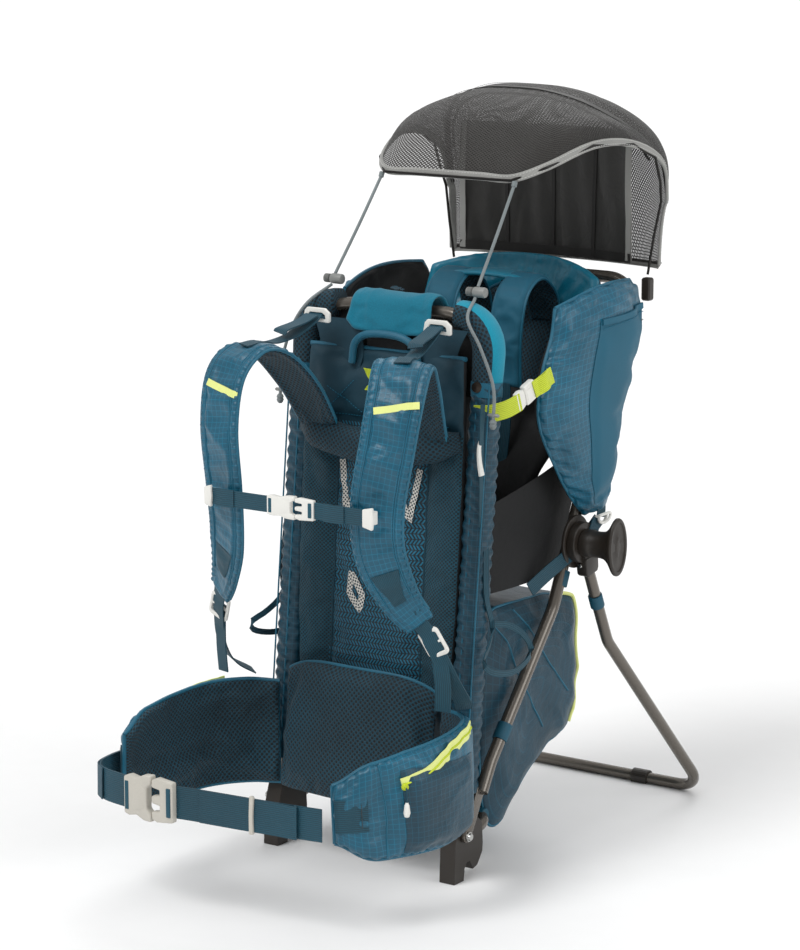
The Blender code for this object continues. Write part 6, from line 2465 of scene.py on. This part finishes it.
# ------------------------------------------------------------------------------- child seat
@dataclass
class ChildSeat:
    """The seat's back with its headrest, the sling, the side wings, the child's harness and side straps."""

    depths: tuple[float, ...] = (0.226, 0.238, 0.280, 0.322, 0.358, 0.378)
    halves: tuple[float, ...] = (0.100, 0.105, 0.122, 0.134, 0.136, 0.128)
    low: float = 0.372
    high: float = 0.727
    oval: tuple[float, float, float] = (0.098, 0.092, 0.600)
    # Below this height the front of the seat's back is painted near-black as shade.
    painted_shade_below: float = 0.560
    pads: dict[str, Pad] = field(default_factory=dict)

    def back(self, u: float, v: float) -> Vector:
        """The middle surface of the seat's back, arched at its top."""
        a = 2 * u - 1
        z = self.low + (self.high - self.low) * v - 0.020 * abs(a) ** 2.4 * smooth(v * 2)
        share = (z - self.low) / (self.high - self.low)
        return Vector((a * mix(self.halves, v), mix(self.depths, share) - 0.034 * a * a, z))

    def ring(self, u: float, v: float) -> float:
        """1 on the seam between the headrest's mesh and its satin collar, more outside, less inside."""
        half, rise, middle = self.oval
        x = (2 * u - 1) * 0.133
        z = self.low + (self.high - self.low) * v
        return math.hypot(x / half, max(z - middle, 0.0) / rise)

    def build(self, shop: Workshop) -> None:
        """Makes the stuffed pieces and the side straps."""
        self.pads["back"] = shop.pad(
            Pad(
                "seat_back_cushion", self.back, 0.268, 0.36, 0.0150, (SATIN, SPACER, SHADE_AND_LABEL_BLACK, RIPSTOP_DARK),
                crown=0.016, rim=0.4, cell=0.0062, puff=0.0070, fill=0.7,
                pinch=lambda u, v: bump_at(self.ring(u, v), 1.0, 0.08) if v > 0.5 else 0.0,
                wrinkle=self.gather, pick=self.pick_back, slot="ripstop", replaces=("seat_back",),
            )
        )
        section = Track(
            [(0, 0.085, 0.455), (0, 0.098, 0.385), (0, 0.135, 0.345), (0, 0.185, 0.342), (0, 0.222, 0.385)],
            Vector((1, 0, 0)),
        )

        def sling(u: float, v: float) -> Vector:
            """The sling's middle surface."""
            a = 2 * u - 1
            point = section.at(v)[0]
            return Vector((a * 0.118, point.y, point.z + 0.022 * a * a * (1 - v)))

        # The sling's underside is painted near-black as shade.
        self.pads["base"] = shop.pad(
            Pad(
                "seat_sling", sling, 0.236, section.length, 0.011, (SPACER, SHADE_AND_LABEL_BLACK), out=1, crown=0.010,
                rim=0.5, cell=0.008, puff=0.003, fill=0.5,
                wrinkle=lambda u, v, side: 0.0009 * creases(Vector((u * 0.2, v * 0.2, 0)), 0.05, 2.0),
                slot="teal_mesh", replaces=("seat_base",),
            )
        )
        for side, label in SIDES:
            self.wing(shop, side, label)
            self.harness(shop, side, label)
            self.strap(shop, side, label)
            self.shade_sheet(shop, side, label)
        bridge = Track(
            [(-0.060, 0.2900, 0.7080), (0, 0.2930, 0.7110), (0.060, 0.2900, 0.7080)], Vector((0, 1, 0)),
        )
        shop.piece(
            "child_harness_bridge", loft(bridge, oval(0.021, 0.0042, 3.0, 20), 24), [SATIN], slot="ripstop",
            sharp=80.0,
        )

    def pick_back(self, u: float, v: float, side: int) -> int:
        """Satin collar round the headrest's mesh, near-black painted shade below, plain cloth behind."""
        if side < 0:
            return 3
        if self.low + (self.high - self.low) * v < self.painted_shade_below:
            return 2
        return 1 if self.ring(u, v) < 1 and side > 0 else 0

    def gather(self, u: float, v: float, side: int) -> float:
        """Gathers that fan out over the collar."""
        if side < 0 or v < 0.5:
            return 0.0010 * creases(Vector((u * 0.26, v * 0.3, 0)), 0.05, 3.0)
        ring = self.ring(u, v)
        if ring < 1.0:
            return 0.0005 * creases(Vector((u * 0.26, v * 0.3, 0)), 0.04, 3.5)
        angle = math.atan2(v - 0.62, u - 0.5)
        pleat = math.sin(angle * 46 + 3 * noise.noise(Vector((angle * 5, ring * 2, 0))))
        return 0.0013 * pleat * smooth((ring - 1.0) * 5) * (
            0.5 + 0.5 * noise.noise(Vector((angle * 3, 0, 4.0)))
        )

    def wing(self, shop: Workshop, side: int, label: str) -> None:
        """One side wing: a puffy ripstop panel that narrows to a tip at the bottom."""
        front = Track(
            [
                (0.258, 0.420, 0), (0.226, 0.446, 0), (0.190, 0.486, 0), (0.146, 0.552, 0),
                (0.152, 0.610, 0), (0.176, 0.655, 0), (0.186, 0.690, 0),
            ]
        )
        rear = Track(
            [
                (0.300, 0.426, 0), (0.330, 0.515, 0), (0.368, 0.610, 0), (0.381, 0.655, 0),
                (0.379, 0.685, 0), (0.362, 0.706, 0),
            ]
        )

        def place(u: float, v: float) -> Vector:
            """The wing's middle surface, cupped inwards at its edges."""
            near, far = front.at(v)[0], rear.at(v)[0]
            spot = near.lerp(far, u)
            cup = 0.010 * (2 * u - 1) ** 2 + 0.004 * (2 * v - 1) ** 2
            return Vector(
                (
                    side * (0.1735 - cup), spot.x,
                    spot.y + 0.010 * math.sin(math.pi * u) * smooth((v - 0.8) * 5),
                )
            )

        def fold(u: float, v: float, skin: int) -> float:
            """Gathers at the front edge and the top, smooth in the middle."""
            if skin < 0:
                return 0.0
            along = v * 0.30
            edge = smooth(1 - min(u * 0.17, (1 - v) * 0.24) / 0.05)
            pleat = math.sin(
                math.tau * (along + 0.5 * u * 0.17) / 0.021 + 4
                * noise.noise(Vector((along * 22, u * 3, side)))
            )
            return (0.0017 * pleat + 0.0016 * creases(Vector((along, u * 0.17, 0)), 0.03, 8.0)) * edge

        # The wing's inner skin faces into the seat and is painted near-black as shade.
        self.pads[label] = shop.pad(
            Pad(
                f"seat_wing_pad_{label}", place, 0.170, 0.290, 0.0150, (RIPSTOP, SHADE_AND_LABEL_BLACK, BINDING), out=side,
                crown=0.022, rim=0.25, cell=0.0058, puff=0.0075, fill=0.75, wrinkle=fold,
                pick=lambda u, v, skin: {1: 0, -1: 1, 0: 2}[skin], slot="ripstop",
                replaces=(f"seat_wing_{label}",),
            )
        )

    def harness(self, shop: Workshop, side: int, label: str) -> None:
        """One of the child's shoulder pads, which loops forward from the headrest."""
        knots = [
            (0.0525, 0.336, 0.648), (0.0525, 0.322, 0.688), (0.0525, 0.288, 0.709), (0.0525, 0.254, 0.690),
            (0.0525, 0.240, 0.640), (0.0525, 0.240, 0.575),
        ]
        track = Track(mirrored(knots, side), Vector((1, 0, 0)))

        def place(u: float, v: float) -> Vector:
            """The pad's middle surface."""
            return track.at(v)[0] + Vector(((u - 0.5) * 0.046, 0, 0))

        pad = Pad(
            f"child_shoulder_pad_{label}", place, 0.046, track.length, 0.0100, (ELASTANE, SPACER, BINDING),
            out=-1, crown=0.010, rim=0.4, cell=0.0050, puff=0.003, fill=0.6,
            pick=lambda u, v, skin: {1: 0, -1: 1, 0: 2}[skin],
            wrinkle=lambda u, v, skin: 0.0007 * creases(Vector((u * 0.05, v * 0.2, 0)), 0.03, 5.0 + side),
            slot="ripstop", replaces=("child_harness",) if side > 0 else (),
        )
        self.pads[f"harness_{label}"] = shop.pad(pad)
        belt = mirrored(
            [
                (0.0525, 0.236, 0.580), (0.0520, 0.238, 0.530), (0.0450, 0.236, 0.470),
                (0.0350, 0.220, 0.410),
            ], side,
        )
        webbing(shop, f"child_belt_{label}", belt, 0.020, (1, 0, 0), slot="teal_webbing")

    def strap(self, shop: Workshop, side: int, label: str) -> None:
        """The lime side strap with its release buckle, from the back frame to the wing."""
        x = side * 0.168
        along = Vector((0, 0.938, 0.346))
        middle = Vector((x, 0.1053, 0.5940))
        turn = Matrix.Translation(middle) @ Matrix.Rotation(math.radians(90), 4, "Z") @ Matrix.Rotation(
            math.radians(-20.2), 4, "Y",
        )
        socket = [
            (-0.0020, 0.0125), (0.0040, 0.0130), (0.0200, 0.0125), (0.0200, -0.0125), (0.0040, -0.0130),
            (-0.0020, -0.0125),
        ]
        tongue = [
            (-0.0200, 0.0115), (-0.0120, 0.0125), (-0.0045, 0.0105), (-0.0030, 0.0060), (-0.0030, -0.0060),
            (-0.0045, -0.0105), (-0.0120, -0.0125), (-0.0200, -0.0115),
        ]
        parts = [plate(socket, 0.0078, 0.0014, turn), plate(tongue, 0.0066, 0.0012, turn)]
        parts.append(
            plate(oblong(0.0060, 0.0070, 0.002), 0.0092, 0.0008, turn @ Matrix.Translation((0.0060, 0, 0)))
        )
        shop.piece(
            f"side_buckle_moulding_{label}", joined(parts), [ACETAL], slot="white_plastic",
            replaces=[f"side_buckle_{label}"],
        )
        up = Vector((0, -0.346, 0.938))
        near = [
            (side * 0.1300, 0.0560, 0.5750), (side * 0.1480, 0.0580, 0.5765),
            tuple(middle - along * 0.036 - Vector((side * 0.004, 0, 0))),
            tuple(middle - along * 0.015 + Vector((side * 0.0035, 0, 0))),
        ]
        webbing(shop, f"side_strap_front_{label}", near, 0.023, up, finish=LIME_WEBBING)
        far = [
            tuple(middle + along * 0.0150 + Vector((side * 0.0046, 0, 0))),
            tuple(middle + along * 0.030 + Vector((side * 0.0080, 0, 0.002))),
            tuple(middle + along * 0.048 + Vector((side * 0.0110, 0, 0.004))),
        ]
        webbing(shop, f"side_strap_rear_{label}", far, 0.022, up, finish=LIME_WEBBING)
        loop = [
            tuple(middle + along * 0.0210 + Vector((side * 0.0050, 0, 0))),
            tuple(middle + along * 0.030 + Vector((side * 0.0130, 0, 0.004))),
            tuple(middle + along * 0.040 + Vector((side * 0.0125, 0, 0.007))),
        ]
        webbing(shop, f"side_strap_loop_{label}", loop, 0.022, up, finish=LIME_WEBBING)

    def shade_sheet(self, shop: Workshop, side: int, label: str) -> None:
        """A near-black sheet between the back frame and the seat's back: painted shade inside the seat."""
        wall = surface(
            lambda u, v: Vector(
                (
                    side * (0.128 + 0.008 * math.sin(math.pi * u)),
                    0.070 + 0.02 * v + (0.175 + 0.05 * v) * u, 0.345 + 0.110 * v + 0.05 * u * v,
                )
            ), 14, 10, lambda u, v: (u * 0.2, v * 0.16),
        )
        shop.piece(f"seat_side_shade_sheet_{label}", wall, [SHADE_AND_LABEL_BLACK], slot="teal_mesh")

    def dress(self, shop: Workshop) -> None:
        """Adds the collar's piping, the pockets, the bindings, the rings and the loops."""
        pad = self.pads["back"]
        half, rise, middle = self.oval
        path = []
        for step in range(33):
            angle = math.pi * step / 32
            x, z = half * math.cos(angle), middle + rise * math.sin(angle)
            path.append((x / 0.266 + 0.5, (z - self.low) / (self.high - self.low)))
        path = [(path[0][0], path[0][1] - 0.09), *path, (path[-1][0], path[-1][1] - 0.09)]
        shop.piece("headrest_piping", pad_cord(pad, path, 0.0019, 90, 1, 0.0006), [BINDING], slot="ripstop")
        for side, label in SIDES:
            self.dress_wing(shop, side, label)
            harness = self.pads[f"harness_{label}"]
            for edge in (0, 1):
                line = [harness.place(edge, step / 40) for step in range(41)]
                shop.piece(
                    f"child_shoulder_binding_{label}_{edge + 1}",
                    cord_mesh(Track(line, steps=1), 0.0018, 70, 8), [BINDING], slot="ripstop",
                )

    def dress_wing(self, shop: Workshop, side: int, label: str) -> None:
        """The stretch pocket, the edge binding and what hangs from the wing's tip."""
        pad = self.pads[label]

        def region(a: float, b: float) -> Pair:
            """The pocket's spread over the wing."""
            left = 0.36 - 0.10 * smooth((0.5 - b) * 2) + 0.02 * b
            return left + (0.985 - left) * a, 0.07 + (0.80 + 0.015 * (1 - a)) * b

        pocket = pad_sheet(pad, region, 36, 48, 0.0022)
        made = shop.piece(f"wing_pocket_{label}", pocket, [ELASTANE], slot="ripstop", sharp=180.0)
        hem = pad_band(
            pad, [region(0.02, 0.995), region(0.5, 0.985), region(0.98, 0.995)], 0.0075, 24, 0.0026,
        )
        shop.piece(f"wing_pocket_hem_{label}", hem, [ELASTANE], slot="ripstop")
        spots = [(region(0.03 + 0.94 * step / 40, 0.965)) for step in range(41)]
        row = stitches([pad.spot(u, v, 0.0024) for u, v in spots])
        shop.piece(f"wing_pocket_stitches_{label}", row, [THREAD_TEAL])
        tack = [region(0.90 + 0.07 * step / 8, 0.925) for step in range(9)]
        shop.piece(
            f"wing_pocket_tack_{label}",
            stitches([pad.spot(u, v, 0.0026) for u, v in tack], 0.0018, 0.0014), [THREAD_DARK],
        )
        for name, line in (
            ("front", [(0, s / 50) for s in range(51)]), ("rear", [(1, s / 50) for s in range(51)]),
            ("top", [(s / 30, 1) for s in range(31)]),
        ):
            points = [pad.place(u, v) for u, v in line]
            shop.piece(
                f"wing_binding_{name}_{label}", cord_mesh(Track(points, steps=1), 0.0023, 90, 8), [BINDING],
                slot="ripstop",
            )
        tip = Vector((side * 0.1730, 0.2800, 0.4230))
        tab = [
            tip + Vector((0, -0.004, 0.016)), tip + Vector((side * 0.002, -0.004, 0.002)),
            tip + Vector((side * 0.002, -0.006, -0.008)),
        ]
        webbing(shop, f"wing_tip_tab_{label}", tab, 0.018, (0, 1, 0.25), slot="teal_webbing")
        for number, shift in enumerate((0.0, 0.0060)):
            corners = [(-0.0130, 0.0), (-0.0115, -0.0075), (0.0, -0.0105), (0.0115, -0.0075), (0.0130, 0.0)]
            points = [
                tip + Vector((side * (0.003 + shift), a - 0.008, b - 0.006 + shift * 0.4))
                for a, b in corners
            ]
            points.append(points[0])
            shop.piece(
                f"wing_ring_{label}_{number + 1}", cord_mesh(Track(points, steps=10), 0.0019, 60, 12),
                [ACETAL], slot="white_plastic",
            )
        strap = [
            tip + Vector((side * 0.003, -0.012, -0.010)), tip + Vector((-side * 0.006, -0.045, -0.040)),
            tip + Vector((-side * 0.020, -0.090, -0.066)), tip + Vector((-side * 0.030, -0.120, -0.085)),
        ]
        webbing(shop, f"wing_tip_strap_{label}", strap, 0.019, (0.1 * side, 0.4, 0.9), slot="teal_webbing")
        tail = [
            tip + Vector((side * 0.005, -0.018, -0.008)), tip + Vector((side * 0.004, -0.030, -0.030)),
            tip + Vector((side * 0.002, -0.034, -0.056)),
        ]
        webbing(shop, f"wing_tip_tail_{label}", tail, 0.016, (0.2 * side, 1, 0.2), slot="teal_webbing")
        loop = [
            (0.1520, 0.0470, 0.4150), (0.1560, 0.0420, 0.3550), (0.1600, 0.0500, 0.3150),
            (0.1680, 0.0300, 0.2950), (0.1760, 0.0050, 0.2830), (0.1800, 0.0200, 0.2680),
            (0.1790, 0.0700, 0.2580), (0.1740, 0.1150, 0.2700), (0.1700, 0.1080, 0.2930),
            (0.1640, 0.0800, 0.3120), (0.1600, 0.0520, 0.3180),
        ]
        webbing(shop, f"foot_loop_{label}", mirrored(loop, side), 0.0075, (0, 0.25, 1), slot="teal_webbing")


# ------------------------------------------------------------------------------- storage bag
@dataclass
class StorageBag:
    """The bag under the seat: a sagging shell with a piped rear edge, its loops and the lower panel."""

    outline: tuple[Pair, ...] = (
        (0.098, 0.046), (0.124, 0.036), (0.170, 0.070), (0.243, 0.112), (0.296, 0.134), (0.312, 0.210),
        (0.302, 0.296), (0.245, 0.318), (0.180, 0.322), (0.110, 0.322), (0.086, 0.300), (0.080, 0.180),
        (0.086, 0.085),
    )
    half: float = 0.136
    turned_in: float = 0.72
    flat: float = 0.90

    def skin(self, u: float, v: float) -> Vector:
        """The bag's shell: u runs round its outline and v from its left side to its right."""
        centre = Vector((0.195, 0.200))
        knots = self.outline
        spot = (u % 1.0) * len(knots)
        index = int(spot)
        t = spot - index
        a, b, c, d = (Vector(knots[(index + k) % len(knots)]) for k in (-1, 0, 1, 2))
        edge = 0.5 * (
            2 * b + (c - a) * t + (2 * a - 5 * b + 4 * c - d) * t * t + (3 * b - a - 3 * c + d) * t**3
        )
        a = 2 * v - 1
        if abs(a) > self.turned_in:
            share = (abs(a) - self.turned_in) / (1 - self.turned_in)
            edge = centre + (edge - centre) * (1 - share) ** 0.75 if share < 1 else centre
            x = self.half * (
                self.flat + (1 - self.flat) * min(1.0, share * 3) + 0.02 * math.sin(math.pi * share)
            )
        else:
            x = self.half * self.flat * abs(a) / self.turned_in
        place = Vector((math.copysign(x, a), edge.x, edge.y))
        drop = Vector((place.y * 0.9 + place.x * 0.3, place.z * 0.8, place.x * 0.6))
        out = Vector((place.x * 0.8, place.y - centre.x, place.z - centre.y)).normalized()
        diagonal = math.sin(math.tau * (place.y * 0.6 + place.z) / 0.055 + 3 * noise.noise(place * 9))
        return place + out * (
            0.0032 * creases(drop, 0.060, 11.0) + 0.0016 * diagonal * smooth((abs(a) - 0.6) * 4) - 0.0040
        )

    def build(self, shop: Workshop) -> None:
        """Makes the shell and the webbing loops."""
        shell = surface(lambda u, v: self.skin(u, v), 150, 110, lambda u, v: (u * 0.90, v * 0.50), True)
        made = shop.piece(
            "storage_bag_shell", shell, [RIPSTOP_DARK], slot="ripstop", replaces=["storage_bag"],
            sharp=180.0,
        )
        for side, label in SIDES:
            self.trims(shop, side, label)
        front = surface(
            lambda u, v: Vector(
                (
                    (2 * u - 1) * 0.125,
                    0.030 + 0.040 * (1 - v) + 0.004 * creases(Vector((u * 0.2, v * 0.1, 0)), 0.04),
                    0.062 + 0.150 * v,
                )
            ), 40, 24, lambda u, v: (u * 0.25, v * 0.15),
        )
        shop.piece("lower_panel", front, [RIPSTOP_DARK], slot="ripstop", sharp=180.0)

    def trims(self, shop: Workshop, side: int, label: str) -> None:
        """Seams, lime piping and the loops that hold the bag to the tubes."""
        at = 0.5 + side * 0.36
        rear = [
            self.skin(u, at) + Vector((side * 0.001, 0, 0))
            for u in (0.305 + 0.21 * step / 40 for step in range(41))
        ]
        shop.piece(f"bag_lime_piping_{label}", cord_mesh(Track(rear, steps=1), 0.0024, 70, 10), [LIME_TAPE])
        edge = [self.skin(step / 100, at - side * 0.005) for step in range(101)]
        shop.piece(
            f"bag_edge_binding_{label}", cord_mesh(Track(edge, steps=1), 0.0018, 150, 8), [BINDING],
            slot="ripstop",
        )
        for number, (start, end) in enumerate(
            (((0.104, 0.300), (0.205, 0.150)), ((0.150, 0.312), (0.262, 0.185)))
        ):
            line = []
            for step in range(25):
                t = step / 24
                y, z = start[0] + (end[0] - start[0]) * t, start[1] + (end[1] - start[1]) * t
                line.append(self.side_point(side, y, z))
            shop.piece(
                f"bag_seam_{label}_{number + 1}", cord_mesh(Track(line, steps=1), 0.0012, 50, 8), [BINDING],
                slot="ripstop",
            )
        self.loop(
            shop, f"tube_loop_low_{label}", Vector((side * 0.150, 0.0885, 0.172)),
            Vector((0, 0.645, 0.764)), 0.0092, 0.022,
        )
        self.loop(
            shop, f"tube_loop_high_{label}", Vector((side * 0.150, 0.222, 0.342)), Vector((0, 0.40, 0.91)),
            0.0092, 0.020,
        )
        self.loop(
            shop, f"bottom_tube_loop_{label}", Vector((side * 0.118, 0.0840, 0.0615)), Vector((1, 0, 0)),
            0.0088, 0.020,
        )
        self.loop(
            shop, f"leg_loop_{label}", Vector((side * 0.1717, 0.272, 0.306)), Vector((0, 0.42, -0.905)),
            0.0088, 0.018, "kickstand",
        )

    def side_point(self, side: int, y: float, z: float) -> Vector:
        """A point on the bag's side at a y and a height."""
        tree = self.tree()
        hit = tree.ray_cast(Vector((side * 0.3, y, z)), Vector((-side, 0, 0)))
        return hit[0] + Vector((side * 0.0003, 0, 0)) if hit[0] is not None else Vector(
            (side * self.half, y, z)
        )

    def tree(self) -> BVHTree:
        """The finished shell, for what lies on it."""
        return Skin(bpy.data.objects["storage_bag_shell"]).tree

    def loop(
        self, shop: Workshop, name: str, centre: Vector, axis: Vector, radius: float, width: float,
        body: str = "frame",
    ) -> None:
        """A band of webbing round a tube."""
        half = axis.normalized() * width / 2
        rings = [
            (0, radius - 0.0012), (0, radius), (0.04, radius + 0.0004), (0.96, radius + 0.0004),
            (1, radius), (1, radius - 0.0012),
        ]
        shop.piece(
            name, turned(centre - half, centre + half, rings, 32), [WEBBING_FLAT], body, "teal_webbing",
        )

    def dress(self, shop: Workshop) -> None:
        """The bag has no stuffing, so nothing waits for it."""
        LOG.info("storage bag: dressed with the shell")


def main() -> None:
    """Builds the studio and every sub-assembly."""
    logging.basicConfig(level=logging.INFO, format="%(message)s")
    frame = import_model()
    shop = Workshop()
    Studio().build()
    CanopyCords().build(shop)
    Canopy().build(shop)
    TubeFrame().build(shop)
    dress_nodes(
        frame, ["foot_bracket_right", "foot_bracket_left", "canopy_socket_right", "canopy_socket_left"],
        BLACK_NYLON, 0.0012,
    )
    dress_nodes(frame, ["kickstand_clip"], BLACK_NYLON, 0.0005)
    dress_nodes(
        frame, ["foot_bolt_right", "foot_bolt_left", "leg_rivet_right", "leg_rivet_left"], ZINC, 0.0003,
    )
    dress_nodes(frame, ["brim_wire", "ridge_bow"], SPRING_STEEL)
    assemblies = [ShoulderHarness(), HipBelt(), BackPanel(), TopRail(), ChildSeat(), StorageBag()]
    for assembly in assemblies:
        assembly.build(shop)
    shop.inflate()
    for assembly in assemblies:
        assembly.dress(shop)


if __name__ == "__main__":
    main()
